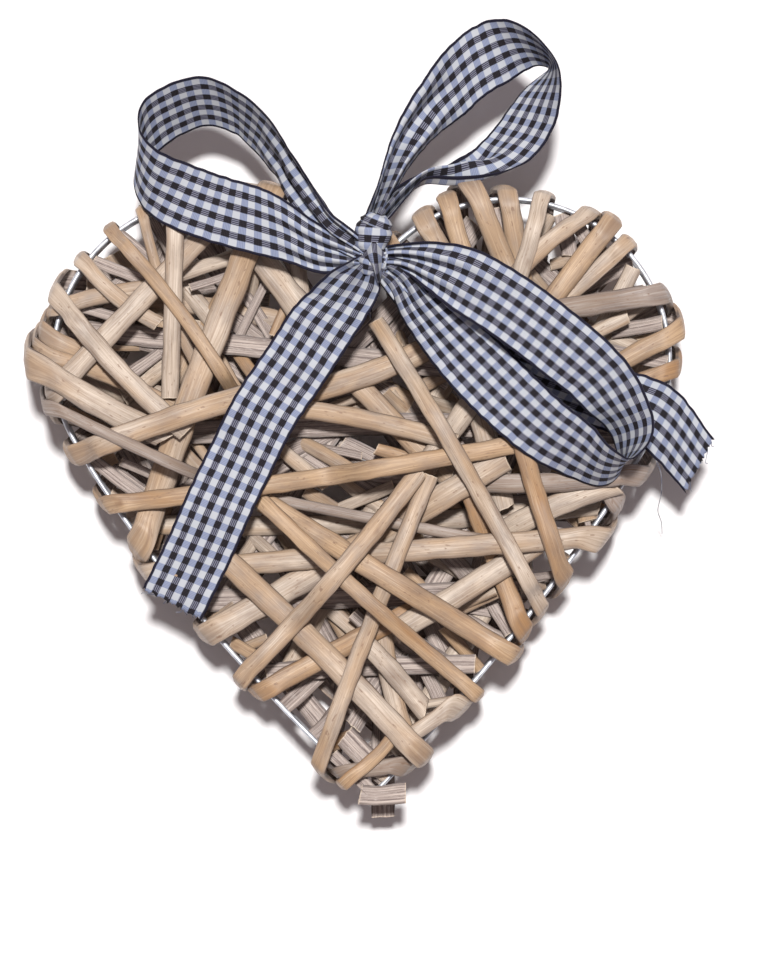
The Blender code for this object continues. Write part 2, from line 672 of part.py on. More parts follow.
def build():
    for thing in list(bpy.data.objects):
        bpy.data.objects.remove(thing, do_unlink=True)
    parts = bpy.data.collections.new(COLLECTION)
    tools = bpy.data.collections.new("joined_pieces")
    bpy.context.scene.collection.children.link(parts)
    bpy.context.scene.collection.children.link(tools)
    root = bpy.data.objects.new("placement", None)
    parts.objects.link(root)

    rim = Rim()
    outline = heart_outline(WIRE_POINT_STEP)
    for name, height in (("front_wire_heart", WIRE_SPACING / 2), ("back_wire_heart", -WIRE_SPACING / 2)):
        heart = wire(name, [(x, y, height) for x, y in outline], WIRE_DIAMETER, True)
        parts.objects.link(heart)
        paint(heart, (0.62, 0.64, 0.66), 0.35, 1.0)
    spacer = wire("spacer_wire", spacer_points(rim), SPACER_DIAMETER, False)
    parts.objects.link(spacer)
    paint(spacer, (0.62, 0.64, 0.66), 0.4, 1.0)

    layers = Layers(rim)
    tail = loft("tip_tail", strip_sections(lay_tip_tail(layers, TIP_TAIL), STRIP_THICKEST))
    parts.objects.link(tail)
    paint(tail, SHADES[TIP_TAIL[-1]], 0.7)
    for number, row in enumerate(STRIPS, start=1):
        chain, thickness = lay_strip(layers, number, row)
        strip = loft(f"willow_strip_{number:02d}", strip_sections(chain, thickness))
        parts.objects.link(strip)
        paint(strip, SHADES[row[5]], 0.7)

    bow = joined(
        "ribbon_bow",
        [
            knot("bow_knot", BOW_KNOT, BOW_KNOT_SIZE),
            ribbon("left_loop", LEFT_LOOP, layers),
            ribbon("right_loop", RIGHT_LOOP, layers),
            ribbon("left_tail", LEFT_TAIL, layers),
            ribbon("right_tail", RIGHT_TAIL, layers),
        ],
        parts,
        tools,
    )
    hanger = joined(
        "hanging_ribbon",
        [
            knot("loop_knot", LOOP_KNOT, LOOP_KNOT_SIZE),
            ribbon("loop", HANGING_LOOP),
            ribbon("turn", NOTCH_TURN),
        ],
        parts,
        tools,
    )
    for band in (bow, hanger):
        paint(band, (0.35, 0.37, 0.48), 0.85)

    bpy.context.view_layer.update()
    depsgraph = bpy.context.evaluated_depsgraph_get()
    corners = []
    for thing in parts.objects:
        if thing.type == "EMPTY":
            continue
        mesh = thing.evaluated_get(depsgraph).to_mesh()
        flat = np.empty(len(mesh.vertices) * 3)
        mesh.vertices.foreach_get("co", flat)
        corners += [flat.reshape(-1, 3).min(axis=0), flat.reshape(-1, 3).max(axis=0)]
        thing.parent = root
    for thing in tools.objects:
        thing.parent = root
    low, high = np.min(corners, axis=0), np.max(corners, axis=0)
    root.location = Vector((-(low[0] + high[0]) / 2, -(low[1] + high[1]) / 2, -low[2]))


build()
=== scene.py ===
"""The looks of a woven willow heart: peeled willow, galvanised wire and a gingham ribbon bow.

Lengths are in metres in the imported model's own frame. Plan places, in millimetres, are counted from
the middle between the two wire hearts, as the wire heart's own box gives it.
"""
import json
import math

import bpy
import numpy as np
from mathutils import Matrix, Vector
from mathutils.bvhtree import BVHTree


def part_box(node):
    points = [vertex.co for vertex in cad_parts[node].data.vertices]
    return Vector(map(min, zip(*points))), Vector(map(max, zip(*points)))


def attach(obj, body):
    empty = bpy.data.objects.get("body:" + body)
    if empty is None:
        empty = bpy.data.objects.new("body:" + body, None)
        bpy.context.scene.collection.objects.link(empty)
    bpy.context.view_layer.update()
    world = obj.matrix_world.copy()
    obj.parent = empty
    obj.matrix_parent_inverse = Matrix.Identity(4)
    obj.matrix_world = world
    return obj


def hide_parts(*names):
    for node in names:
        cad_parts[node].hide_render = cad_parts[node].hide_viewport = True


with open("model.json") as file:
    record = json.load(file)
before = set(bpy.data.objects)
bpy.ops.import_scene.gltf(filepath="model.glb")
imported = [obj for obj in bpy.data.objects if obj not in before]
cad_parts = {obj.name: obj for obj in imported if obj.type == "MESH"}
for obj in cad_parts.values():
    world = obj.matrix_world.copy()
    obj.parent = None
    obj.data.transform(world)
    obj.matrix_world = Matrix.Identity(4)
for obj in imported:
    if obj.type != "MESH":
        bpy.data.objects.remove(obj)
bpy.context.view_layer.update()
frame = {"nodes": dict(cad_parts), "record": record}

MM = 0.001

# Wire frame
LOBE_RADIUS = 0.0470
LOBE_SPREAD = 1.813 * LOBE_RADIUS
TIP_DEPTH = 0.1265
TIP_SHIFT = 0.003
LOBE_LEAVES_AT = math.radians(30.0)
SIDE_FULLNESS = 0.40
WIRE_DIAMETER = 0.0014
WIRE_SPACING = 0.0095
SPACER_DIAMETER = 0.0012
SPACER_PITCH = 0.026
SPACER_GAP = 0.0003
SPACER_SHARPNESS = 0.97
OUTLINE_STEP = 0.0012

front_low, front_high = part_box("front_wire_heart")
back_low, back_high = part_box("back_wire_heart")
PLAN_ORIGIN = np.array([
    (front_low.x + front_high.x) / 2,
    front_high.y - WIRE_DIAMETER / 2 - LOBE_RADIUS,
    (front_low.z + back_high.z) / 2,
])

# Willow
STRIP_RING_STEP = 0.0011
CROWN_POINTS = 13
UNDERSIDE_POINTS = 5
CROWN_HEIGHT = 1.14
ROUND_POWER = 2.2
FOLD_POWER_RISE = 3.8
FOLD_FLATTENING = 0.22
HOLLOW_DEPTH = 0.16
EDGE_RAGGEDNESS = 0.045
CROWN_RAGGEDNESS = 0.06
END_RAGGEDNESS = 0.00009
END_SLANT = 0.24
SHARP_BEND = 200.0
FOLD_CRISPNESS = 0.5
BUD_HEIGHT = 0.16
BUD_LENGTH = 0.0030
BUD_MARK_LENGTH = 0.0011
FILLING_REACH = 0.0062
FILLING_TUCK = 0.0030
FILLING_BOW = 0.03
FILLING_ROWS = 40
FILLING_LEAST_ROWS = 15
FILLING_CLEARANCE = 0.0002

# Short lengths of willow seen through the gaps: both ends as pixels read off the photograph, the width
# in pixels, and the shade where it isn't grey. They lie under the front layer of strips, or on the back
# one where it says low.
FILLINGS = (
    (176, 277, 230, 259, 15, "cream"), (175, 275, 212, 320, 18, "cream"),
    (193, 345, 216, 305, 12, "honey"), (107, 348, 162, 347, 6, "cream"),
    (214, 368, 240, 398, 11, "cream"), (229, 342, 252, 374, 13, "honey"),
    (299, 262, 304, 304, 16, "cream"), (277, 327, 290, 298, 9, "honey"),
    (60, 408, 103, 430, 14, "cream"), (183, 450, 212, 480, 13, "cream"),
    (188, 434, 212, 464, 10, "cream"), (165, 515, 150, 562, 11, "honey"),
    (248, 533, 276, 558, 13, "cream"), (238, 565, 255, 540, 13, "cream"),
    (224, 614, 244, 584, 19, "cream"), (228, 640, 252, 654, 12, "honey"),
    (297, 626, 320, 664, 10, "cream"), (316, 413, 360, 398, 9, "cream"),
    (328, 417, 370, 410, 16, "honey"), (286, 453, 320, 480, 14, "cream"),
    (308, 446, 350, 470, 14, "cream"), (386, 452, 410, 459, 12, "honey"),
    (392, 400, 414, 420, 13, "cream"), (432, 403, 462, 411, 14, "cream"),
    (314, 496, 358, 522, 14, "cream"), (341, 508, 384, 490, 12, "cream"),
    (358, 557, 392, 541, 13, "honey"), (415, 537, 439, 515, 14, "cream"),
    (448, 500, 478, 537, 11, "honey"), (335, 576, 352, 565, 9, "honey"),
    (413, 578, 438, 604, 10, "cream"), (586, 508, 592, 540, 20, "cream"),
    (594, 484, 612, 512, 19, "honey"), (558, 478, 604, 502, 14, "honey"),
    (492, 470, 512, 540, 22, "cream"), (560, 556, 576, 566, 12, "honey"),
    (526, 586, 546, 604, 9, "honey"), (488, 572, 510, 592, 13, "honey"),
    (450, 635, 482, 672, 12, "honey"), (391, 637, 426, 618, 14, "cream"),
    (384, 680, 396, 742, 20, "cream"), (396, 730, 424, 712, 14, "cream"),
    (430, 703, 450, 700, 9, "cream"), (416, 730, 438, 720, 12, "honey"),
    (374, 766, 394, 784, 13, "cream"), (394, 298, 402, 345, 13, "cream"),
    (455, 262, 470, 300, 13, "cream"), (536, 282, 552, 300, 14, "cream"),
    (604, 322, 640, 252, 17, "cream"), (600, 332, 646, 300, 14, "cream"),
    (470, 330, 500, 322, 14, "cream"), (107, 225, 147, 258, 12), (74, 252, 138, 278, 11),
    (70, 306, 106, 315, 10), (47, 323, 78, 343, 10), (115, 328, 164, 350, 12), (132, 373, 164, 349, 12),
    (200, 285, 232, 275, 8), (243, 329, 262, 291, 9), (234, 320, 278, 354, 18),
    (250, 303, 273, 340, 12), (70, 416, 100, 411, 10), (98, 462, 152, 502, 13), (131, 466, 160, 479, 9),
    (80, 482, 134, 502, 16, "low cream"), (112, 524, 140, 510, 16, "low cream"),
    (246, 588, 258, 610, 10), (209, 622, 226, 610, 8, "low cream"),
    (236, 651, 258, 642, 10, "low cream"), (264, 688, 291, 667, 14), (304, 610, 330, 656, 20),
    (292, 449, 328, 433, 15), (326, 449, 352, 454, 8), (340, 459, 366, 467, 10),
    (432, 531, 458, 520, 12), (364, 590, 386, 616, 15), (456, 610, 486, 595, 8, "low cream"),
    (508, 502, 562, 496, 14), (512, 511, 542, 524, 9), (563, 533, 582, 538, 9),
    (586, 506, 600, 528, 12), (580, 495, 588, 526, 6), (526, 578, 564, 572, 8),
    (530, 588, 566, 580, 8, "low cream"), (485, 580, 513, 602, 7),
    (456, 612, 505, 589, 10, "low cream"), (491, 602, 512, 636, 12), (473, 610, 496, 614, 8),
    (453, 615, 517, 648, 18), (405, 640, 454, 673, 17), (338, 672, 363, 697, 17),
    (313, 734, 338, 711, 14), (352, 742, 379, 769, 22), (396, 748, 410, 764, 11, "low cream"),
    (438, 545, 482, 592, 18), (534, 260, 562, 286, 18), (574, 220, 592, 250, 14),
    (352, 472, 384, 492, 15), (412, 408, 440, 430, 15), (302, 452, 334, 474, 14),
    (396, 250, 430, 300, 14), (340, 296, 366, 352, 14), (366, 376, 412, 404, 16),
    (330, 396, 366, 380, 14), (560, 205, 568, 246, 16), (500, 218, 506, 250, 12),
    (560, 262, 596, 250, 12, "low cream"), (620, 330, 680, 318, 14),
    (618, 346, 676, 334, 12, "low cream"), (612, 352, 666, 362, 14), (612, 340, 622, 372, 12),
    (406, 358, 440, 380, 12), (420, 388, 452, 372, 14, "low cream"), (376, 330, 384, 372, 14),
    (330, 350, 362, 330, 12), (300, 508, 360, 540, 14), (350, 470, 410, 478, 14),
    (440, 420, 470, 470, 14), (480, 560, 470, 610, 14), (400, 500, 440, 560, 16),
    (360, 620, 400, 660, 14), (260, 530, 300, 590, 14), (420, 660, 440, 700, 14),
    (340, 760, 372, 790, 12), (196, 330, 172, 384, 16, "cream"), (186, 352, 132, 392, 18, "cream"),
    (130, 384, 190, 402, 14, "cream"), (72, 366, 148, 406, 20, "cream"), (112, 336, 152, 346, 14),
    (214, 352, 240, 396, 14, "cream"), (74, 420, 104, 432, 10, "cream"),
    (76, 476, 106, 460, 16, "honey"), (104, 464, 136, 486, 12), (256, 272, 250, 300, 12, "cream"),
    (318, 412, 344, 404, 10, "cream"), (334, 416, 364, 402, 16, "cream"),
    (384, 386, 404, 398, 18, "cream"), (396, 402, 410, 418, 16, "cream"), (300, 450, 324, 436, 16),
    (497, 470, 520, 560, 22, "cream"), (306, 612, 336, 668, 26), (408, 640, 448, 668, 22),
    (342, 672, 358, 698, 16), (268, 686, 292, 670, 16), (318, 736, 336, 712, 16),
    (318, 748, 342, 740, 15, "honey"), (316, 598, 360, 636, 16, "cream"), (352, 446, 384, 462, 14),
    (340, 476, 372, 500, 16, "cream"), (276, 470, 300, 456, 14), (486, 330, 520, 300, 15, "cream"),
    (596, 330, 640, 350, 15, "cream"), (590, 285, 640, 262, 14), (100, 300, 128, 278, 14),
    (60, 420, 84, 380, 12), (292, 700, 318, 676, 16), (440, 560, 486, 586, 15, "cream"),
    (452, 610, 492, 590, 14), (576, 476, 610, 500, 14),
)

# Long strips that cross the back from rim to rim, in the same pixels. The photograph shows them only
# as dark shapes deep in the gaps, so their places are chosen to fill the back evenly.
BACK_STRIPS = (
    (118, 262, 398, 716, 24), (186, 226, 462, 690, 21), (268, 236, 536, 612, 24),
    (338, 300, 604, 540, 20), (84, 372, 330, 732, 22), (612, 232, 356, 716, 23),
    (544, 222, 286, 676, 20), (470, 232, 214, 616, 24), (398, 300, 138, 530, 20),
    (652, 352, 404, 742, 22), (78, 330, 652, 392, 21), (92, 442, 646, 436, 23),
    (146, 524, 590, 506, 20), (212, 600, 534, 588, 22), (276, 672, 470, 664, 19),
    (96, 290, 330, 330, 20), (420, 318, 660, 292, 22),
)

WILLOW_SHADES = {
    "cream": {
        "Pale": (0.545, 0.452, 0.368), "Warm": (0.425, 0.292, 0.186), "Dull": (0.265, 0.215, 0.185),
    },
    "honey": {
        "Pale": (0.475, 0.325, 0.200), "Warm": (0.360, 0.205, 0.098), "Dull": (0.235, 0.170, 0.130),
    },
    "grey": {
        "Pale": (0.370, 0.314, 0.285), "Warm": (0.268, 0.212, 0.175), "Dull": (0.18, 0.150, 0.142),
    },
}

# Ribbon
RIBBON_WIDTH = 0.0195
RIBBON_THICKNESS = 0.00035
RIBBON_CLEARANCE = 0.0006
RIBBON_STEP = 0.0008
RIBBON_COLUMNS = 41
LIFT_REACH = 0.006
CHECK_PERIOD = 0.0044
STRIPES = 4.5
SELVEDGE = 0.04
CROSS_THREAD = 0.00043
LONG_THREAD_SHARE = 0.0272
THREAD_DIAMETER = 0.00022
LOOSE_THREADS = 5

# Picture
PIXELS_PER_MM = 3.43
PHOTO_ORIGIN = (361.5, 361.0)
PHOTO_SIZE = (782, 960)
CAMERA_HEIGHT = 1.6
FLOOR_HALF = 3.0


def catmull_rows(rows, steps):
    """Points of a smooth curve through rows of numbers: each stretch is a cubic whose slope at a row
    is half the difference of its neighbours, with steps points to a stretch."""
    rows = np.asarray(rows, float)
    padded = np.concatenate([[2 * rows[0] - rows[1]], rows, [2 * rows[-1] - rows[-2]]])
    t = (np.arange(steps) / steps)[None, :, None]
    a, b, c, d = (padded[k:len(padded) - 3 + k, None, :] for k in range(4))
    curve = 2 * b + (c - a) * t + (2 * a - 5 * b + 4 * c - d) * t**2
    curve = curve + (3 * b - a - 3 * c + d) * t**3
    return np.concatenate([0.5 * curve.reshape(-1, rows.shape[1]), rows[-1:]])


def smooth_through(knots, values, at):
    """Values between knots by a cubic on each stretch, whose slope at a knot is that of the parabola
    through the knot and its two neighbours."""
    gaps = np.diff(knots)[:, None]
    rises = np.diff(values, axis=0) / gaps
    slopes = np.empty_like(values)
    slopes[1:-1] = (rises[:-1] * gaps[1:] + rises[1:] * gaps[:-1]) / (gaps[1:] + gaps[:-1])
    slopes[0], slopes[-1] = rises[0], rises[-1]
    k = np.clip(np.searchsorted(knots, at, side="right") - 1, 0, len(knots) - 2)
    h = gaps[k]
    t = ((at - knots[k]) / h[:, 0])[:, None]
    return (
        values[k] * (2 * t**3 - 3 * t**2 + 1)
        + values[k + 1] * (3 * t**2 - 2 * t**3)
        + slopes[k] * h * (t**3 - 2 * t**2 + t)
        + slopes[k + 1] * h * (t**3 - t**2)
    )


def unit(vectors):
    """Vectors drawn out to length 1."""
    return vectors / np.linalg.norm(vectors, axis=-1, keepdims=True)


def distances(path):
    """How far along a path each of its points lies."""
    return np.concatenate([[0.0], np.cumsum(np.linalg.norm(np.diff(path, axis=0), axis=1))])


def pairs(across, along):
    """A grid of texture places, from numbers that go across it and numbers that go along it."""
    return np.stack(np.broadcast_arrays(across, along), -1)


def points_of(mesh):
    """A mesh's points, one to a row."""
    places = np.empty(len(mesh.vertices) * 3)
    mesh.vertices.foreach_get("co", places)
    return places.reshape(-1, 3)


def ray_target(mesh):
    """A mesh in the form that a ray can be cast at."""
    return BVHTree.FromPolygons([v.co for v in mesh.vertices], [p.vertices for p in mesh.polygons])


def put(name, data):
    """A new object in the scene, at the origin."""
    piece = bpy.data.objects.new(name, data)
    bpy.context.scene.collection.objects.link(piece)
    return piece


def waver(distance, wavelength, dice, waves=5):
    """A smooth random line along a distance: the mean of sines of random wavelength and phase."""
    lengths = wavelength * dice.uniform(0.6, 1.9, waves)
    phases = dice.uniform(0, 2 * math.pi, waves)
    return np.sin(distance[..., None] * 2 * math.pi / lengths + phases).mean(-1) * 1.6


def surface(name, grid, uv, around=False, looped=False, cap=None, facts=None, smooth_angle=40):
    """A mesh from a grid of points (rows, columns, 3) with quads between neighbours.

    uv has one more column than the grid where the grid closes around, and one more row where its last
    row joins its first. cap is the share to which the ring at each end is drawn in before it is closed
    to its middle. facts are point values by name.
    """
    rows, columns = grid.shape[:2]
    points = grid.reshape(-1, 3)
    index = np.arange(rows * columns).reshape(rows, columns)
    if around:
        index = np.concatenate([index, index[:, :1]], 1)
    if looped:
        index = np.concatenate([index, index[:1]])
    quads, corner = (np.stack([g[:-1, :-1], g[1:, :-1], g[1:, 1:], g[:-1, 1:]], 2) for g in (index, uv))
    corner = corner.reshape(-1, 2)
    faces = quads.reshape(-1, 4).tolist()
    facts = {key: value.reshape(-1) for key, value in (facts or {}).items()}
    if cap is not None:
        for ring, flip in ((index[0], False), (index[-1], True)):
            middle = points[ring[:-1]].mean(0)
            inner = middle + (points[ring[:-1]] - middle) * cap
            first = len(points)
            points = np.concatenate([points, inner, middle[None]])
            for key, value in facts.items():
                at_end = np.full(len(inner) + 1, 1.0 if key == "cut" else value[ring[0]])
                facts[key] = np.concatenate([value, at_end])
            inside = np.append(np.arange(first, first + len(inner)), first)
            band = np.stack([ring[:-1], ring[1:], inside[1:], inside[:-1]], 1)
            fan = np.stack([inside[:-1], inside[1:], np.full(len(inner), first + len(inner))], 1)
            band, fan = (band[:, ::-1], fan[:, ::-1]) if flip else (band, fan)
            faces += band.tolist() + fan.tolist()
            corner = np.concatenate([corner, np.zeros((band.size + fan.size, 2))])
    mesh = bpy.data.meshes.new(name)
    mesh.from_pydata(points.tolist(), [], faces)
    layer = mesh.uv_layers.new(name="UVMap")
    layer.data.foreach_set("uv", corner.astype(np.float32).ravel())
    for key, value in facts.items():
        mesh.attributes.new(key, "FLOAT", "POINT").data.foreach_set("value", value.astype(np.float32))
    mesh.polygons.foreach_set("use_smooth", np.ones(len(faces), bool))
    mesh.set_sharp_from_angle(angle=math.radians(smooth_angle))
    return put(name, mesh)


def dress(piece, material, nodes=()):
    """Gives a piece its material and its body, and hides the nodes that it stands for."""
    piece.data.materials.append(material)
    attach(piece, "root")
    if nodes:
        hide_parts(*nodes)
    return piece


class Nodes:
    """Adds shader nodes to a tree and joins them."""

    def __init__(self, tree):
        self.tree = tree

    def feed(self, node, inputs):
        """Sets a node's inputs to values or joins them to sockets."""
        for key, value in inputs.items():
            if isinstance(value, bpy.types.NodeSocket):
                self.tree.links.new(value, node.inputs[key])
            else:
                node.inputs[key].default_value = value

    def add(self, kind, inputs=None, **settings):
        """A node of a kind, with its settings and inputs."""
        node = self.tree.nodes.new("ShaderNode" + kind)
        for key, value in settings.items():
            setattr(node, key, value)
        self.feed(node, inputs or {})
        return node

    def math(self, operation, a, b=0.5, c=0.5):
        """One number worked out from others."""
        return self.add("Math", {0: a, 1: b, 2: c}, operation=operation).outputs[0]

    def times(self, a, b):
        """A product."""
        return self.math("MULTIPLY", a, b)

    def total(self, start, *parts):
        """A number and further numbers, each times its weight, added up."""
        for value, weight in parts:
            start = self.math("MULTIPLY_ADD", value, weight, start)
        return start

    def mix(self, share, a, b):
        """A colour between two colours."""
        return self.add("Mix", {0: share, 6: a, 7: b}, data_type="RGBA").outputs[2]

    def ramp(self, value, low, high, top=1.0):
        """A number stretched so that low becomes 0 and high becomes top, clamped."""
        ends = {"Value": value, "From Min": low, "From Max": high, "To Max": top}
        return self.add("MapRange", ends).outputs[0]

    def stretched(self, vector, scale, detail=3.0, roughness=0.55, seed=0.0):
        """Noise on a vector scaled by three numbers."""
        place = (seed, seed * 1.7, seed)
        mapped = self.add("Mapping", {"Vector": vector, "Scale": scale, "Location": place}).outputs[0]
        settings = {"Vector": mapped, "Scale": 1.0, "Detail": detail, "Roughness": roughness}
        return self.add("TexNoise", settings).outputs[0]

    def finish(self, shader, looks, strength, distance, others):
        """Joins a colour, a roughness and a height, as a bump, to a shader; sets its other inputs."""
        bump = self.add("Bump", {"Height": looks["Height"], "Strength": strength, "Distance": distance})
        self.feed(shader, {"Base Color": looks["Colour"], "Roughness": looks["Roughness"]})
        self.feed(shader, {"Normal": bump.outputs[0], **others})


def node_group(name, inputs):
    """An empty shader group that gives a colour, a roughness and a height; returns the tree, its input
    node's sockets and its output node."""
    tree = bpy.data.node_groups.new(name, "ShaderNodeTree")
    for key, value in inputs.items():
        kind, value = ("Color", (*value, 1)) if isinstance(value, tuple) else ("Float", value)
        socket = tree.interface.new_socket(key, in_out="INPUT", socket_type="NodeSocket" + kind)
        socket.default_value = value
    for key, kind in (("Colour", "Color"), ("Roughness", "Float"), ("Height", "Float")):
        tree.interface.new_socket(key, in_out="OUTPUT", socket_type="NodeSocket" + kind)
    return tree, tree.nodes.new("NodeGroupInput").outputs, tree.nodes.new("NodeGroupOutput")


def new_material(name):
    """A material with its shader; returns the material, its Nodes and its shader node."""
    material = bpy.data.materials.new(name)
    material.use_nodes = True
    return material, Nodes(material.node_tree), material.node_tree.nodes["Principled BSDF"]


def willow_group():
    """Peeled willow: pale crown with fine fibres, specks and buds, painted shade darkening it towards
    both edges, dark bark line along both edges, grey fibrous split side, and pale cut ends."""
    tree, given, result = node_group(
        "willow_surface", {"Blotches": 0.75, "Fibres": 0.75, **WILLOW_SHADES["cream"]}
    )
    n = Nodes(tree)
    uv = n.add("UVMap", uv_map="UVMap").outputs[0]
    fact = {
        key: n.add("Attribute", attribute_name=key).outputs["Fac"]
        for key in ("tone", "under", "mark", "cut", "drift")
    }
    shifted = n.add("VectorMath", {0: uv, 1: fact["drift"]}, operation="ADD").outputs[0]
    broad = n.stretched(shifted, (1.5, 28.0, 1.0), 2.0)
    patches = n.stretched(shifted, (2.6, 70.0, 1.0), 4.0, 0.6, 3.1)
    fibres = n.stretched(shifted, (34.0, 60.0, 1.0), 4.0, 0.65, 7.7)
    fine = n.stretched(shifted, (90.0, 330.0, 1.0), 3.0, 0.6, 1.3)
    specks = n.stretched(shifted, (17.0, 420.0, 1.0), 2.0, 0.5, 5.9)
    across = n.add("SeparateXYZ", {0: uv}).outputs[0]
    crown = n.math("ABSOLUTE", n.total(-1.0, (across, 2.0)))
    streaks = n.stretched(shifted, (26.0, 24.0, 1.0), 5.0, 0.75, 2.4)
    warm_share = n.ramp(n.total(broad, (fact["tone"], 0.16)), 0.42, 0.64)
    fibre_share = n.times(n.ramp(fibres, 0.42, 0.70, 0.85), given["Fibres"])
    speck_share = n.ramp(specks, 0.655, 0.71, 0.65)
    bark = n.times(n.ramp(crown, 0.74, 0.86, 0.85), n.ramp(patches, 0.36, 0.56))
    split = n.mix(n.ramp(streaks, 0.40, 0.62), (0.17, 0.13, 0.12, 1), (0.56, 0.47, 0.42, 1))
    split = n.mix(n.ramp(fine, 0.58, 0.66, 0.6), split, (0.72, 0.66, 0.62, 1))
    ends = n.mix(n.ramp(fine, 0.35, 0.65), (0.50, 0.38, 0.28, 1), (0.80, 0.68, 0.54, 1))
    colour = given["Pale"]
    for share, over in (
        (warm_share, given["Warm"]),
        (n.times(n.ramp(patches, 0.44, 0.68), given["Blotches"]), given["Dull"]),
        (fibre_share, (0.215, 0.135, 0.085, 1)),
        (n.ramp(fibres, 0.44, 0.28, 0.28), (0.76, 0.66, 0.54, 1)),
        # painted shade: the crown drawn towards the dull colour near both edges, where the half-round
        # strip turns from the light
        (n.times(n.times(crown, crown), 0.5), given["Dull"]),
        (speck_share, (0.20, 0.12, 0.08, 1)),
        (n.times(fact["mark"], 0.75), (0.17, 0.09, 0.05, 1)),
        (bark, (0.055, 0.032, 0.024, 1)),
        (fact["under"], split),
        (n.ramp(fact["cut"], 0.55, 0.9), ends),
    ):
        colour = n.mix(share, colour, over)
    rough = n.total(0.36, (fibres, 0.25), (fact["under"], 0.3))
    furrows = n.times(streaks, fact["under"])
    height = n.total(0.0, (fibres, -0.6), (fine, 0.35), (speck_share, -0.8), (furrows, 2.5))
    n.feed(result, {"Colour": colour, "Roughness": rough, "Height": height})
    return tree


def willow_material(shade, group):
    """Satin peeled willow in one shade."""
    material, n, shader = new_material("willow_" + shade)
    wood = n.add("Group", node_tree=group)
    n.feed(wood, {key: (*value, 1) for key, value in WILLOW_SHADES[shade].items()})
    n.feed(wood, {"Fibres": 0.95 if shade == "grey" else 0.75})
    n.finish(shader, wood.outputs, 0.35, 0.0004, {"Specular IOR Level": 0.38})
    return material


def strip_rings(node):
    """The rings of four corners that a strip's solid is made of, in order from one end.

    An end cap is a pair of touching triangles from which each further step along the edges reaches
    exactly four new corners, until all are reached.
    """
    mesh = frame["nodes"][node].data
    corners, same = np.unique(np.round(points_of(mesh), 6), axis=0, return_inverse=True)
    loops = np.empty(len(mesh.loops), int)
    mesh.loops.foreach_get("vertex_index", loops)
    triangles = same.ravel()[loops].reshape(-1, 3).tolist()
    links = [set() for _ in corners]
    beside = {}
    for triangle in triangles:
        for k in range(3):
            a, b = triangle[k], triangle[k - 1]
            links[a].add(b)
            links[b].add(a)
            beside.setdefault(frozenset((a, b)), []).append(triangle)
    for pair in sorted(beside.values(), key=lambda pair: np.ptp(corners[sum(pair, [])], axis=0).sum()):
        rings = [set(sum(pair, []))]
        seen = set(rings[0])
        while len(rings[-1]) == 4 and len(seen) < len(corners):
            rings.append(set().union(*(links[v] for v in rings[-1])) - seen)
            seen |= rings[-1]
        if len(seen) == len(corners) and len(rings[-1]) == 4:
            return [corners[sorted(ring)] for ring in rings]
    return None


def strip_spine(node):
    """Centres, half widths and thicknesses, as vectors, at each ring of a strip's solid.

    A ring's broad split side and narrow crown are its two most nearly parallel edges. The ring in the
    middle of each fold is moved towards the fold's square corner, because willow creases there.
    """
    centres, widths, depths = [], [], []
    for ring in strip_rings(node):
        best = None
        for one, other in (((0, 1), (2, 3)), ((0, 2), (1, 3)), ((0, 3), (1, 2))):
            first, second = ring[one[1]] - ring[one[0]], ring[other[1]] - ring[other[0]]
            lengths = np.linalg.norm(first), np.linalg.norm(second)
            likeness = abs(first @ second) / lengths[0] / lengths[1]
            if best is None or likeness > best[0]:
                broad, narrow = (one, other) if lengths[0] > lengths[1] else (other, one)
                best = (likeness, broad, narrow)
        _, broad, narrow = best
        base, crown = ring[list(broad)].mean(0), ring[list(narrow)].mean(0)
        width = (ring[broad[1]] - ring[broad[0]]) / 2
        if widths and width @ widths[-1] < 0:
            width = -width
        centres.append(base)
        widths.append(width)
        depths.append(crown - base)
    centres, widths, depths = np.array(centres), np.array(widths), np.array(depths)
    flatness = np.abs(depths[:, 2]) / np.linalg.norm(depths, axis=1)
    for k in np.flatnonzero((flatness[1:-1] > 0.3) & (flatness[1:-1] < 0.9)) + 1:
        flat, wall = (k - 1, k + 1) if flatness[k - 1] > flatness[k + 1] else (k + 1, k - 1)
        corner = np.append(centres[wall, :2], centres[flat, 2])
        centres[k] += FOLD_CRISPNESS * (corner - centres[k])
    along = np.gradient(centres, axis=0)
    if (np.cross(along, widths) * depths).sum() < 0:
        widths = -widths
    return centres, widths, depths


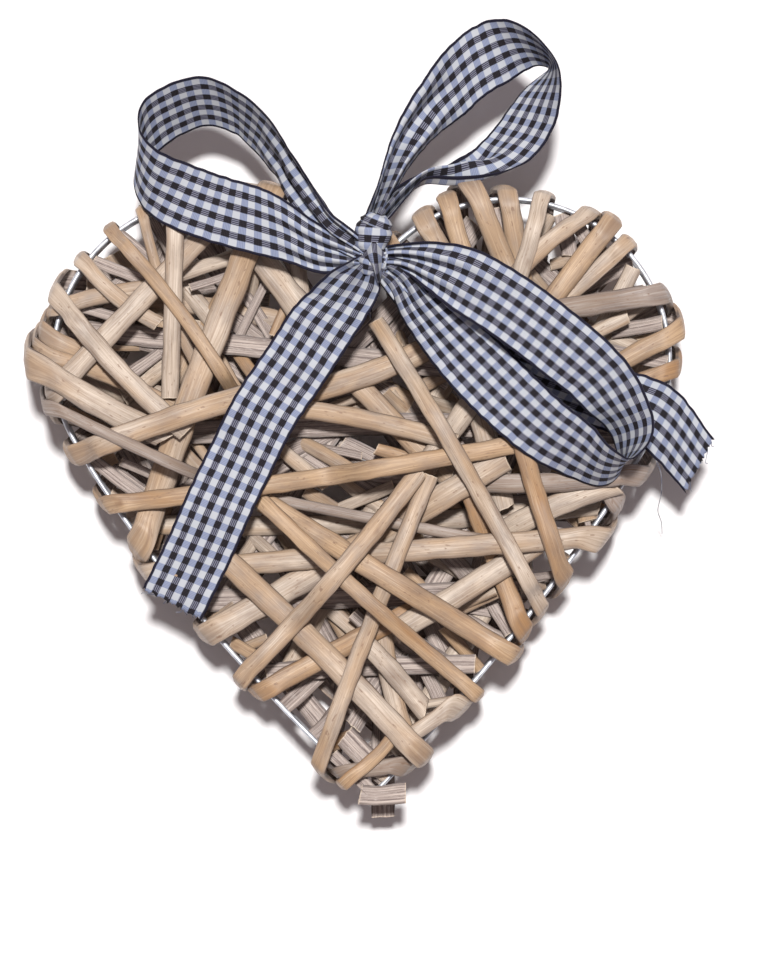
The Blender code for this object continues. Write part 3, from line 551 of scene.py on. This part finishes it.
def willow_strip(name, spine, shade, seed, nodes=()):
    """A split willow strip carried along its spine.

    Its section is a half superellipse over a slightly hollow split side. The exponent rises from 2.2,
    nearly a half ellipse, to 6, nearly a flat band, where the strip folds sharply. Its edges and crown
    waver at random, one to three buds make a low bump with a dark mark, and its ends are cut askew.
    """
    dice = np.random.default_rng(seed)
    centres, widths, depths = spine
    knots = distances(centres)
    at = np.linspace(0.0, knots[-1], max(8, int(knots[-1] / STRIP_RING_STEP)))
    centre, width, depth = (smooth_through(knots, v, at) for v in (centres, widths, depths))
    along = unit(np.gradient(centre, axis=0))
    bend = np.linalg.norm(np.gradient(along, axis=0), axis=1) / (at[1] - at[0])
    blur = np.hanning(9)[1:-1]
    fold = np.clip(np.convolve(bend, blur / blur.sum(), mode="same") / SHARP_BEND, 0.0, 1.0)[:, None]
    angles = np.linspace(math.pi, 0.0, CROWN_POINTS)
    floor = np.linspace(1.0, -1.0, UNDERSIDE_POINTS + 2)[1:-1]
    power = ROUND_POWER + FOLD_POWER_RISE * fold
    cosine, sine = np.cos(angles)[None, :], np.sin(angles)[None, :]
    crown_across = np.sign(cosine) * np.abs(cosine) ** (2 / power)
    crown_up = np.maximum(sine, 0.0) ** (2 / power) * (CROWN_HEIGHT - FOLD_FLATTENING * fold)
    rows = np.ones((len(at), 1))
    sideways = np.concatenate([crown_across, rows * floor], 1)
    upward = np.concatenate([crown_up, rows * HOLLOW_DEPTH * (1 - floor**2)], 1)
    left, right = (waver(at, 0.011, dice)[:, None] * EDGE_RAGGEDNESS for _ in range(2))
    spread = 1 + np.where(sideways < 0, left, right) * sideways**2
    lift = 1 + waver(at, 0.017, dice)[:, None] * CROWN_RAGGEDNESS
    ridges = waver(sideways * 0.5 + at[:, None] * 3.0, 0.16, dice) * 0.05 * (upward > 0.4)
    mark = np.zeros_like(sideways)
    bump = np.zeros_like(sideways)
    for _ in range(dice.integers(1, 4)):
        spot, side = dice.uniform(0.06, 0.94) * knots[-1], dice.uniform(-0.6, 0.6)
        away = at[:, None] - spot
        bump += BUD_HEIGHT * np.exp(-((away / BUD_LENGTH) ** 2))
        near = np.exp(-((away / BUD_MARK_LENGTH) ** 2) - ((sideways - side) / 0.16) ** 2)
        mark = np.maximum(mark, near * (upward > 0.2) * dice.uniform(0.4, 1.0))
    grid = (
        centre[:, None]
        + width[:, None] * (sideways * spread * (1 + bump * 0.25))[..., None]
        + depth[:, None] * (upward * lift * (1 + bump) + ridges)[..., None]
    )
    for end in (0, -1):
        slant = dice.normal(0.0, END_SLANT) * np.linalg.norm(width[end])
        cut = sideways[end] * slant + dice.normal(0.0, END_RAGGEDNESS, sideways.shape[1])
        cut *= 1 - abs(along[end][2])
        fade = np.exp(-np.abs(at - at[end]) / 0.0015)[:, None, None]
        grid += fade * cut[None, :, None] * along[end]
    grid[..., 2] = np.maximum(grid[..., 2], 0.0)
    around = (np.linspace(0, 1, CROWN_POINTS), np.linspace(1.08, 1.42, UNDERSIDE_POINTS), [1.5])
    uv = pairs(np.concatenate(around)[None, :], at[:, None])
    ones = np.ones_like(mark)
    from_end = np.minimum(at, knots[-1] - at)[:, None]
    facts = {
        "tone": ones * dice.uniform(-1.0, 1.0),
        "drift": ones * dice.uniform(0.0, 9.0),
        "under": ones * np.concatenate([np.zeros(CROWN_POINTS), np.ones(UNDERSIDE_POINTS)]),
        "mark": mark,
        "cut": 0.8 * np.exp(-((from_end / 0.0006) ** 2)) * ones,
    }
    piece = surface(name, grid, uv, around=True, cap=0.5, facts=facts)
    return dress(piece, WILLOW[shade], nodes)


def inside_heart(points):
    """Whether plan points lie inside the wire heart: the turns of the outline seen from each add up."""
    outline = heart_outline(0.004)
    away = outline[None] - points[:, None]
    turn = np.arctan2(away[..., 1], away[..., 0])
    steps = np.diff(np.concatenate([turn, turn[:, :1]], 1), axis=1)
    steps = (steps + math.pi) % (2 * math.pi) - math.pi
    return np.abs(steps.sum(1)) > math.pi


def first_hit(layers, x, y, way):
    """Height, from the plan's origin, of the nearest willow above (way 1) or below (way -1) it."""
    start = Vector((x + PLAN_ORIGIN[0], y + PLAN_ORIGIN[1], PLAN_ORIGIN[2]))
    hits = [layer.ray_cast(start, Vector((0, 0, way)))[0] for layer in layers]
    heights = [hit.z - PLAN_ORIGIN[2] for hit in hits if hit is not None]
    return (min if way > 0 else max)(heights, default=way * FILLING_REACH)


def filling_strip(name, row, layers, seed):
    """A strip seen through the gaps: a gentle bow between two places of the photograph, as long as both
    its edges stay inside the heart, or its middle line where that leaves too little of it.

    Its height is the straight line that fits the free room above or below the middle best, moved until
    it touches at one place only.
    """
    dice = np.random.default_rng(seed)
    x1, y1, x2, y2, wide = row[:5]
    shade = row[5] if len(row) > 5 else "grey"
    way = -1 if shade.startswith("low ") else 1
    shade = shade.replace("low ", "")
    origin = (PHOTO_ORIGIN[0], -PHOTO_ORIGIN[1])
    ends = (np.array([(x1, -y1), (x2, -y2)]) - origin) / PIXELS_PER_MM * MM
    run = ends[1] - ends[0]
    length = np.linalg.norm(run)
    run /= length
    side = np.array([-run[1], run[0]])
    far = np.linspace(-FILLING_TUCK, length + FILLING_TUCK, FILLING_ROWS)
    arc = np.sin(math.pi * (far + FILLING_TUCK) / (length + 2 * FILLING_TUCK))
    bow = dice.uniform(-FILLING_BOW, FILLING_BOW) * length * arc
    plan = ends[0] + far[:, None] * run + bow[:, None] * side
    half = wide / PIXELS_PER_MM * MM / 2
    kept = np.all([inside_heart(plan + step * half * side) for step in (-1.0, 0.0, 1.0)], axis=0)
    if kept.sum() < FILLING_LEAST_ROWS:
        kept = inside_heart(plan)
    plan, far = plan[kept], far[kept]
    thick = np.clip(half * 0.5, 0.0009, 0.0016)
    room = []
    for x, y in plan:
        offsets = [side * half * step for step in (-0.9, 0.0, 0.9)]
        room.append(way * min(way * first_hit(layers, x + o[0], y + o[1], way) for o in offsets))
    room = np.array(room) - way * (thick * CROWN_HEIGHT + FILLING_CLEARANCE) * (1.0 if way > 0 else 0.2)
    line = np.polyval(np.polyfit(far, room, 1), far)
    line -= way * np.max(way * (line - room))
    rows = np.linspace(0, len(far) - 1, 6).round().astype(int)
    base = np.column_stack([plan[rows], line[rows]]) + PLAN_ORIGIN
    up = -1.0 if shade == "grey" else 1.0
    base[:, 2] += 0.0 if up > 0 else thick
    widths = np.tile(np.append(side * half, 0.0) * up, (len(rows), 1))
    depths = np.tile([0.0, 0.0, up * thick], (len(rows), 1))
    piece = willow_strip(name, (base, widths, depths), shade, seed)
    layers.append(ray_target(piece.data))


def heart_outline(step):
    """The heart's outline from the notch, clockwise: two arcs about the lobes' centres, and two
    parabolas that leave the lobes along their tangents and meet at the tip."""
    notch = math.pi - math.acos(LOBE_SPREAD / 2 / LOBE_RADIUS)
    bearings = np.linspace(notch, -LOBE_LEAVES_AT, round((notch + LOBE_LEAVES_AT) * LOBE_RADIUS / step))
    halves = []
    for side in (1, -1):
        out = side * (LOBE_SPREAD / 2 + LOBE_RADIUS * np.cos(bearings))
        arc = np.stack([out, LOBE_RADIUS * np.sin(bearings)], 1)
        tip = np.array([TIP_SHIFT, -TIP_DEPTH])
        leave = np.array([-side * math.sin(LOBE_LEAVES_AT), -math.cos(LOBE_LEAVES_AT)])
        length = np.linalg.norm(tip - arc[-1])
        bend = arc[-1] + leave * SIDE_FULLNESS * length
        t = np.linspace(0.0, 1.0, round(length / step))[1:, None]
        run = arc[-1] * (1 - t) ** 2 + bend * 2 * t * (1 - t) + tip * t**2
        halves.append(np.concatenate([arc, run]))
    return np.concatenate([halves[0], halves[1][::-1][1:-1]])


def tube(name, path, diameter, closed, sides=12):
    """A round wire along a path: a circle square to the path's direction at each point."""
    along = unit(np.roll(path, -1, 0) - np.roll(path, 1, 0) if closed else np.gradient(path, axis=0))
    side = unit(np.cross(along, [0.0, 0.0, 1.0]))
    up = np.cross(side, along)
    turn = np.linspace(0.0, 2 * math.pi, sides, endpoint=False)
    ring = np.cos(turn)[:, None] * side[:, None] + np.sin(turn)[:, None] * up[:, None]
    grid = path[:, None] + ring * diameter / 2
    far = distances(np.concatenate([path, path[:1]]) if closed else path)
    uv = pairs(np.linspace(0, 1, sides + 1)[None, :], far[:, None])
    return surface(name, grid, uv, around=True, looped=closed, cap=None if closed else 0.5)


def wire_material():
    """Dull bright zinc, with pale and grey spots and darker grey clouds."""
    material, n, shader = new_material("galvanised_wire")
    place = n.add("TexCoord").outputs["Object"]
    spots = n.add("TexNoise", {"Vector": place, "Scale": 420.0, "Detail": 4.0}).outputs[0]
    cloud = n.add("TexNoise", {"Vector": place, "Scale": 60.0, "Detail": 3.0}).outputs[0]
    colour = n.mix(n.ramp(spots, 0.38, 0.66), (0.46, 0.48, 0.53, 1), (0.76, 0.79, 0.85, 1))
    colour = n.mix(n.ramp(cloud, 0.52, 0.75, 0.4), colour, (0.30, 0.29, 0.30, 1))
    looks = {"Colour": colour, "Roughness": n.total(0.36, (spots, 0.22)), "Height": spots}
    n.finish(shader, looks, 0.12, 0.0003, {"Metallic": 0.62})
    return material


def wires():
    """The two wire hearts and the spacer wire bent up and down between them."""
    material = wire_material()
    outline = heart_outline(OUTLINE_STEP)
    for node, level in (("front_wire_heart", 1), ("back_wire_heart", -1)):
        height = np.full((len(outline), 1), level * WIRE_SPACING / 2)
        path = np.concatenate([outline, height], 1) + PLAN_ORIGIN
        dress(tube(node + "_wire", path, WIRE_DIAMETER, True), material, [node])
    loop = np.concatenate([outline, outline[:1]])
    far = distances(loop)
    margin = SPACER_PITCH / 4
    bends = 2 * round(far[-1] / SPACER_PITCH)
    at = np.linspace(margin, far[-1] - margin, 24 * (bends - 1) + 1)
    swing = WIRE_SPACING / 2 - WIRE_DIAMETER / 2 - SPACER_GAP - SPACER_DIAMETER / 2
    phase = np.linspace(0.0, math.pi * (bends - 1), len(at))
    height = -swing * np.arcsin(SPACER_SHARPNESS * np.cos(phase)) / math.asin(SPACER_SHARPNESS)
    path = np.stack([np.interp(at, far, loop[:, 0]), np.interp(at, far, loop[:, 1]), height], 1)
    spacer = tube("spacer_wire_bent", path + PLAN_ORIGIN, SPACER_DIAMETER, False, 8)
    dress(spacer, material, ["spacer_wire"])


def gingham_group():
    """Gingham: five pale and four dark stripes along the ribbon crossed by pale and dark bands of the
    same width. Where only one is dark, its threads show as a fine hatch; both edges are dark cord."""
    shades = {"White": (0.44, 0.46, 0.50), "Pale blue": (0.182, 0.213, 0.318)}
    tree, given, result = node_group("gingham_weave", {**shades, "Black": (0.008, 0.006, 0.010)})
    n = Nodes(tree)
    uv = n.add("UVMap", uv_map="UVMap").outputs[0]
    across, along = n.add("SeparateXYZ", {0: uv}).outputs[:2]
    stray = n.add("TexNoise", {"Vector": uv, "Scale": 900.0}).outputs[0]
    wobble = n.total(-0.025, (stray, 0.05))
    pitch = STRIPES / (1 - 2 * SELVEDGE)
    stripes = n.total(wobble, (across, pitch), (0.75 - pitch * SELVEDGE, 1.0))
    bands = n.total(wobble, (along, 1 / CHECK_PERIOD))
    warp, weft = (n.ramp(n.math("PINGPONG", value, 0.5), 0.23, 0.27) for value in (stripes, bands))
    cross_threads = n.math("PINGPONG", n.math("DIVIDE", along, CROSS_THREAD), 0.5)
    long_threads = n.math("PINGPONG", n.math("DIVIDE", across, LONG_THREAD_SHARE), 0.5)
    slate = n.mix(n.ramp(long_threads, 0.18, 0.36), (0.020, 0.019, 0.034, 1), (0.19, 0.195, 0.26, 1))
    blue = n.mix(n.ramp(cross_threads, 0.18, 0.36), given["Pale blue"], (0.255, 0.287, 0.405, 1))
    colour = n.mix(warp, n.mix(weft, given["White"], blue), n.mix(weft, slate, given["Black"]))
    grain = n.ramp(n.times(cross_threads, n.math("ADD", long_threads, 0.5)), 0.0, 0.35, 0.018)
    colour = n.mix(grain, colour, (0.9, 0.9, 0.93, 1))
    edge = n.math("ABSOLUTE", n.math("SUBTRACT", across, 0.5))
    colour = n.mix(n.ramp(edge, 0.495 - SELVEDGE, 0.505 - SELVEDGE), colour, (0.013, 0.012, 0.024, 1))
    cord = n.ramp(edge, 0.49 - SELVEDGE, 0.5 - SELVEDGE, 1.4)
    height = n.total(cord, (cross_threads, 0.8), (long_threads, 0.8))
    rough = n.total(0.72, (stray, 0.12))
    n.feed(result, {"Colour": colour, "Roughness": rough, "Height": height})
    return tree


def ribbon_material():
    """Woven cotton gingham with a soft sheen."""
    material, n, shader = new_material("gingham_ribbon")
    cloth = n.add("Group", node_tree=gingham_group())
    n.finish(shader, cloth.outputs, 0.25, 0.0002, {"Sheen Weight": 0.04, "Specular IOR Level": 0.12})
    return material


# The ribbon's routes. Each point: x, y, z in mm from the plan's origin, heading and tilt of the
# ribbon's width in degrees, and how much of its full width shows there, less where it is gathered.
LEFT_TAIL = (
    (3.2, 29.5, 20.5, -30, 0, 0.24),
    (0.6, 25.8, 21.4, -24, 0, 0.5),
    (-1.9, 22.3, 21.6, -20, 0, 0.8),
    (-6, 16.8, 20.6, -21, 0, 0.93),
    (-11.8, 9.3, 19.5, -31, 0, 1),
    (-18.8, -1.5, 18.5, -35, 0, 1),
    (-27.8, -14.9, 17, -29, 0, 1),
    (-35.1, -29.4, 16, -25, 0, 1),
    (-40.7, -41, 15, -22, 0, 1),
    (-47, -55, 12.5, -21, 0, 1),
    (-54.7, -70.5, 10, -21, 0, 1),
)
LEFT_LOOP = (
    (1, 28.5, 20.5, 97, 0, 0.3),
    (-12.7, 32.4, 20.5, 97, 5, 0.78),
    (-24.3, 38.2, 19, 95, 8, 1),
    (-41.3, 43.3, 18, 76, 8, 1),
    (-54.4, 48.3, 17, 64, 18, 1),
    (-61.5, 53, 15.5, 68, 38, 1),
    (-64.6, 61, 13.5, 84, 52, 1),
    (-59.4, 69, 12, 104, 42, 1),
    (-47.6, 74.8, 10, 103, 46, 1),
    (-38.4, 73.2, 9.5, 96, 48, 1),
    (-30, 66.8, 10.5, 70, 58, 1),
    (-24.2, 58.8, 13, 58, 60, 0.95),
    (-18.4, 49.6, 16.5, 50, 55, 0.85),
    (-9.5, 38.6, 20, 48, 40, 0.55),
    (1.5, 30.5, 21, 48, 20, 0.3),
)
RIGHT_LOOP = (
    (4.5, 28, 20.5, 42, 0, 0.3),
    (11.8, 24, 20.5, 40, 0, 0.5),
    (18.4, 14.5, 20, 32, 0, 0.72),
    (32.2, -0.6, 19.5, 42, 0, 0.97),
    (49.4, -17.2, 18.5, 45, 16, 1),
    (62.2, -26.4, 18, 57, 34, 1),
    (70.4, -31, 19.5, 76, 56, 1),
    (76.2, -29.8, 22.5, 44, 78, 1),
    (77.4, -19.6, 25.5, 18, 50, 1),
    (69.8, -7.2, 27.5, 36, 24, 1),
    (56.4, 4.6, 28.5, 53, 8, 1),
    (42.7, 14.9, 28, 56, 8, 1),
    (30.2, 22.6, 26.5, 63, 10, 0.96),
    (20.6, 26.8, 24, 76, 5, 0.72),
    (12.2, 29.2, 22, 88, 0, 0.42),
    (4.5, 29.2, 21, 90, 0, 0.3),
)
RIGHT_TAIL = (
    (5, 27.5, 19, 48, 0, 0.3),
    (14, 19.5, 17.5, 50, 0, 0.55),
    (28, 9, 16, 52, 0, 0.9),
    (46.2, -1.5, 14.5, 54, 0, 1),
    (69.5, -10.2, 13, 57, 0, 1),
    (85.8, -16.6, 10.5, 62, 4, 1),
    (98.2, -30.4, 5, 69, 20, 1),
)
HANGING_LOOP = (
    (3, 38.5, 20.5, 165, 0, 0.26),
    (7.4, 50, 17, 156, 10, 0.34),
    (12.2, 61, 13, 146, 20, 0.56),
    (19.6, 72.4, 9.5, 118, 30, 0.88),
    (26.6, 80, 8, 112, 22, 1),
    (35.2, 87.4, 8, 108, 10, 1),
    (46.6, 91.4, 9, 118, 44, 1),
    (55.4, 86, 10, 60, 82, 1),
    (51.6, 76, 8.5, -10, 52, 1),
    (45.6, 65, 6.5, -20, 38, 1),
    (37.4, 57.6, 6.5, -28, 50, 0.9),
    (27.6, 54.6, 9, -58, 50, 0.34),
    (18.6, 53.2, 12.5, -78, 30, 0.13),
    (11.6, 48, 16.5, -50, 10, 0.24),
    (4.5, 39.5, 20, -40, 0, 0.22),
)
NOTCH_TURN = (
    (2.6, 37.4, 19, 0, 0, 0.3),
    (1.5, 34, 12, 0, 0, 0.26),
    (0.6, 31.5, 3, 0, 0, 0.26),
    (0.2, 29.5, -6.5, 0, 0, 0.26),
    (0, 22, -10.5, 0, 0, 0.3),
    (0, 16, -8.5, 0, 0, 0.3),
    (0, 14, 0, 0, 0, 0.3),
    (0, 15.5, 7, 0, 0, 0.3),
)
TONGUE = (
    (4, 33.8, 21.5, 0, 0, 0.66),
    (4.2, 31.6, 24.2, 0, 0, 0.66),
    (4.5, 28.8, 25.2, -4, 0, 0.56),
    (5, 26, 24.6, -8, 0, 0.34),
    (5.5, 23.4, 22.5, -10, 0, 0.12),
)

# Plain paths in the same millimetres: x, y, z.
TIP_CROSSPIECE = ((-0.4, -126.1, 5.9), (4, -126.3, 6.3), (8.6, -126, 6.3), (12.9, -125.6, 5.9))
HANGING_THREAD = (
    (85.4, -28.8, 8), (87, -33, 7), (87.2, -38.5, 4),
    (86.6, -43.5, -4), (88, -47, -12), (88.6, -50.5, -19),
)


def ribbon_frame(route):
    """Centres and half-width vectors every RIBBON_STEP along a route, with the share of width shown."""
    rows = []
    for x, y, z, heading, tilt, share in route:
        bearing, lean = math.radians(heading), math.radians(tilt)
        flat = math.cos(lean)
        width = math.cos(bearing) * flat, math.sin(bearing) * flat, math.sin(lean)
        rows.append([x * MM, y * MM, z * MM, *width, share])
    rows = np.array(rows)
    for k in range(1, len(rows)):
        if rows[k, 3:6] @ rows[k - 1, 3:6] < 0:
            rows[k, 3:6] *= -1
    coarse = catmull_rows(rows, 24)
    far = distances(coarse[:, :3])
    at = np.linspace(0.0, far[-1], max(12, int(far[-1] / RIBBON_STEP)))
    rows = np.stack([np.interp(at, far, coarse[:, k]) for k in range(7)], 1)
    return at, rows[:, :3] + PLAN_ORIGIN, unit(rows[:, 3:6]) * RIBBON_WIDTH / 2, rows[:, 6]


def lift_off(centres, across, shares, weave):
    """Raises the ribbon's rows where the willow below would come through, then evens the lifts out.

    The lift is the greatest height of the willow above the row, across the width and a little along.
    """
    needed = np.zeros(len(centres))
    for k in range(0, len(centres), 2):
        for step in np.linspace(-1.0, 1.0, 9):
            place = centres[k] + across[k] * step * shares[k]
            for layer in weave:
                hit = layer.ray_cast(Vector((place[0], place[1], 0.2)), Vector((0, 0, -1)))[0]
                if hit is not None:
                    needed[k] = max(needed[k], hit.z + RIBBON_CLEARANCE - place[2])
    reach = int(LIFT_REACH / RIBBON_STEP)
    padded = np.pad(needed, reach, mode="edge")
    widest = np.max([padded[k:k + len(needed)] for k in range(2 * reach + 1)], axis=0)
    blur = np.hanning(2 * reach + 3)[1:-1]
    smooth = np.convolve(np.pad(widest, reach, mode="edge"), blur / blur.sum(), mode="valid")
    centres[:, 2] += np.maximum(smooth, 0.0)
    return centres


def ribbon(name, route, seed, weave=None, pleats=2.5, frayed_end=False, shown=(0.0, 1.0)):
    """A band of ribbon along a route, or the part of its width that shows where a knot hides the rest.

    Its half width turns with the route. Where less than the full width shows, the rest stands in
    pleats: a wave across the width whose height grows as the share falls. The band is a little
    cupped, and its edges waver.
    """
    dice = np.random.default_rng(seed)
    at, centres, across, shares = ribbon_frame(route)
    part = shown[1] - shown[0]
    full = part * RIBBON_WIDTH
    across *= part
    if weave is not None:
        centres = lift_off(centres, across, shares, weave)
    along = np.gradient(centres, axis=0)
    face = unit(np.cross(along, across))
    u = np.linspace(-1.0, 1.0, RIBBON_COLUMNS)
    gather = np.sqrt(np.clip(1 - shares**2, 0.0, 1.0))
    phase = dice.uniform(0, math.pi)
    wave = np.sin(u[None, :] * math.pi * pleats + phase + at[:, None] * 40)
    height = gather[:, None] * wave * full / (4 * pleats)
    height += 0.00045 * waver(at, 0.03, dice)[:, None] * u[None, :] ** 2
    height += 0.00030 * waver(at[:, None] + u[None, :] * 0.004, 0.014, dice)
    width = u[None, :] * shares[:, None] * (1 + 0.012 * waver(at, 0.004, dice)[:, None])
    grid = centres[:, None] + across[:, None] * width[..., None] + face[:, None] * height[..., None]
    if frayed_end:
        jag = dice.normal(0.0, 0.00035, RIBBON_COLUMNS) + 0.0012 * u
        fade = np.exp(-(at[-1] - at) / 0.002)[:, None, None]
        ahead = along[-1] / np.linalg.norm(along[-1])
        grid += fade * jag[None, :, None] * ahead
    uv = pairs(shown[0] + part * (u[None, :] + 1) / 2, at[:, None])
    piece = surface(name, grid, uv, smooth_angle=180)
    wall = piece.modifiers.new("cloth_thickness", "SOLIDIFY")
    wall.thickness = RIBBON_THICKNESS
    wall.offset = 0.0
    dress(piece, GINGHAM)
    return piece


def loose_threads(tail, seed):
    """Threads that stick out of a tail's cut end: short lines along it that bend sideways at random."""
    dice = np.random.default_rng(seed)
    rows = points_of(tail.data).reshape(-1, RIBBON_COLUMNS, 3)
    ahead = unit(rows[-2].mean(0) - rows[-6].mean(0))
    side = unit(rows[-2, -1] - rows[-2, 0])
    far = np.linspace(0.0, 1.0, 10)[:, None]
    for number in range(LOOSE_THREADS):
        start = rows[-2, dice.integers(1, RIBBON_COLUMNS - 1)]
        length = dice.uniform(0.0009, 0.0030)
        bend = dice.normal(0.0, 0.7) * far**2 + dice.normal(0.0, 0.25) * np.sin(far * 2 * math.pi)
        path = start + length * (far * ahead + bend * side)
        thread = tube(f"{tail.name}_thread_{number + 1}", path, THREAD_DIAMETER, False, 5)
        dress(thread, GINGHAM)


def wrap(name, middle, radii, lean, band, start, seed):
    """One turn of ribbon pulled tight in a knot: a barrel about an axis that leans by an angle from the
    heart's upright line.

    Along the axis its radius follows the top of a circle's arc, and folds that slant round it ride on
    top as a sine of the angle and the height. band is the part of the ribbon's width that shows.
    """
    dice = np.random.default_rng(seed)
    axis = np.array([math.sin(lean), math.cos(lean), 0.0])
    side = np.array([math.cos(lean), -math.sin(lean), 0.0])
    front = np.array([0.0, 0.0, 1.0])
    level = np.linspace(1.0, -1.0, 29)[:, None]
    turn = np.linspace(0.0, 2 * math.pi, 56, endpoint=False)[None, :]
    swell = np.sqrt(1 - (0.86 * level) ** 2)
    folds = 0.045 * np.sin(level * 6.5 + turn + dice.uniform(0, 6))
    radius = swell * (1 + folds + 0.02 * np.sin(level * 15 - 2 * turn))
    grid = (
        np.array(middle) * MM
        + PLAN_ORIGIN
        + axis * (level * radii[1] + 0.10 * radii[1] * np.sin(turn + 0.6))[..., None] * MM
        + side * (np.cos(turn) * radius * radii[0])[..., None] * MM
        + front * (-np.sin(turn) * radius * radii[2])[..., None] * MM
    )
    around = np.linspace(0.0, 2 * math.pi, 57)[None, :] * (radii[0] + radii[2]) / 2 * MM
    across = band[0] + (band[1] - band[0]) * (level + 1) / 2
    piece = surface(name, grid, pairs(across, start + around), around=True, cap=0.4, smooth_angle=180)
    return dress(piece, GINGHAM)


def floor_and_light():
    """White ground, a low-angle sun lamp from the top of the heart, a dim softbox and a pale room."""
    mesh = bpy.data.meshes.new("floor")
    corners = [(x * FLOOR_HALF, y * FLOOR_HALF, 0) for x, y in ((-1, -1), (1, -1), (1, 1), (-1, 1))]
    mesh.from_pydata(corners, [], [(0, 1, 2, 3)])
    floor = put("floor", mesh)
    material, n, shader = new_material("white_ground")
    n.feed(shader, {"Base Color": (0.80, 0.79, 0.80, 1), "Roughness": 0.9})
    mesh.materials.append(material)
    sun = bpy.data.lights.new("key_light", "SUN")
    sun.energy = 4.3
    sun.angle = math.radians(6.0)
    sun.color = (1.0, 0.985, 0.965)
    way = Vector((-0.01, -0.27, -0.96))
    put("key_light", sun).rotation_euler = way.to_track_quat("-Z", "Y").to_euler()
    box = bpy.data.lights.new("softbox", "AREA")
    box.size = 1.1
    box.energy = 1.0
    box.color = (0.95, 0.96, 1.0)
    put("softbox", box).location = (0.0, -0.15, 1.30)
    world = bpy.data.worlds.new("studio")
    world.use_nodes = True
    n = Nodes(world.node_tree)
    seen = n.add("LightPath").outputs["Is Camera Ray"]
    backdrop = n.mix(seen, (0.205, 0.168, 0.172, 1), (0.90, 0.90, 0.91, 1))
    n.feed(world.node_tree.nodes["Background"], {"Color": backdrop})
    bpy.context.scene.world = world
    bpy.context.scene.view_settings.view_transform = "Standard"


def camera():
    """A camera that looks straight down, with the photo's scale at the height of the wire hearts."""
    data = bpy.data.cameras.new("camera")
    eye = put("camera", data)
    middle = (PHOTO_SIZE[0] / 2 - PHOTO_ORIGIN[0], PHOTO_ORIGIN[1] - PHOTO_SIZE[1] / 2)
    x, y = (value / PIXELS_PER_MM * MM for value in middle)
    eye.location = Vector(PLAN_ORIGIN) + Vector((x, y, CAMERA_HEIGHT))
    data.sensor_fit = "VERTICAL"
    data.sensor_height = 36.0
    data.lens = data.sensor_height * CAMERA_HEIGHT / (PHOTO_SIZE[1] / PIXELS_PER_MM * MM)
    data.clip_start = 0.01
    bpy.context.scene.camera = eye


group = willow_group()
WILLOW = {shade: willow_material(shade, group) for shade in WILLOW_SHADES}
GINGHAM = ribbon_material()

strip_nodes = sorted(name for name in frame["nodes"] if name.startswith("willow_strip_"))
slots = {part["node"]: part["material_slot"] for part in frame["record"]["subparts"]}
for number, node in enumerate(strip_nodes + ["tip_tail"]):
    shade = slots[node].replace("willow_", "")
    willow_strip(node + "_split", strip_spine(node), shade, 100 + number, [node])

tip = catmull_rows(TIP_CROSSPIECE, 3) * MM + PLAN_ORIGIN
tip_sizes = [np.tile(size, (len(tip), 1)) for size in ([0.0, -0.0029, 0.0], [0.0, 0.0, -0.0013])]
willow_strip("tip_crosspiece", (tip, *tip_sizes), "grey", 290)

weave_layers = [ray_target(frame["nodes"][node].data) for node in strip_nodes]
layers = list(weave_layers)
for number, row in enumerate(BACK_STRIPS):
    row = (*row, "low grey" if number % 3 else "low cream")
    filling_strip(f"willow_back_{number + 1:02d}", row, layers, 500 + number)
for number, row in enumerate(FILLINGS):
    filling_strip(f"willow_filling_{number + 1:02d}", row, layers, 300 + number)

wires()

bow_knot = wrap("bow_knot", (3.6, 28.2, 20.0), (4.4, 4.0, 4.9), 0.3, (0.05, 0.6), 0.0, 21)
bow = [
    ribbon("bow_right_tail", RIGHT_TAIL, 1, weave_layers, frayed_end=True),
    ribbon("bow_left_loop", LEFT_LOOP, 2, weave_layers),
    ribbon("bow_right_loop", RIGHT_LOOP, 3, weave_layers),
    ribbon("bow_left_tail", LEFT_TAIL, 4, weave_layers, frayed_end=True),
]
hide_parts("ribbon_bow")
loose_threads(bow[0], 31)
loose_threads(bow[3], 32)
fallen = catmull_rows(HANGING_THREAD, 6) * MM + PLAN_ORIGIN
dress(tube("bow_right_tail_long_thread", fallen, THREAD_DIAMETER, False, 5), GINGHAM)
hanging_knot = [
    wrap("hanging_knot_band", (3.4, 36.2, 21.0), (5.3, 5.4, 4.9), 0.12, (0.20, 0.72), 0.0015, 22),
    wrap("hanging_knot_cap", (4.3, 38.9, 21.0), (4.7, 2.9, 4.6), 0.42, (0.0, 0.34), 0.0032, 23),
]
hanger = [
    ribbon("hanging_ribbon_loop", HANGING_LOOP, 5, pleats=1.6),
    ribbon("hanging_ribbon_turn", NOTCH_TURN, 6),
    ribbon("hanging_ribbon_tongue", TONGUE, 7, pleats=1.0, shown=(0.16, 0.70)),
]
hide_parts("hanging_ribbon")

floor_and_light()
camera()
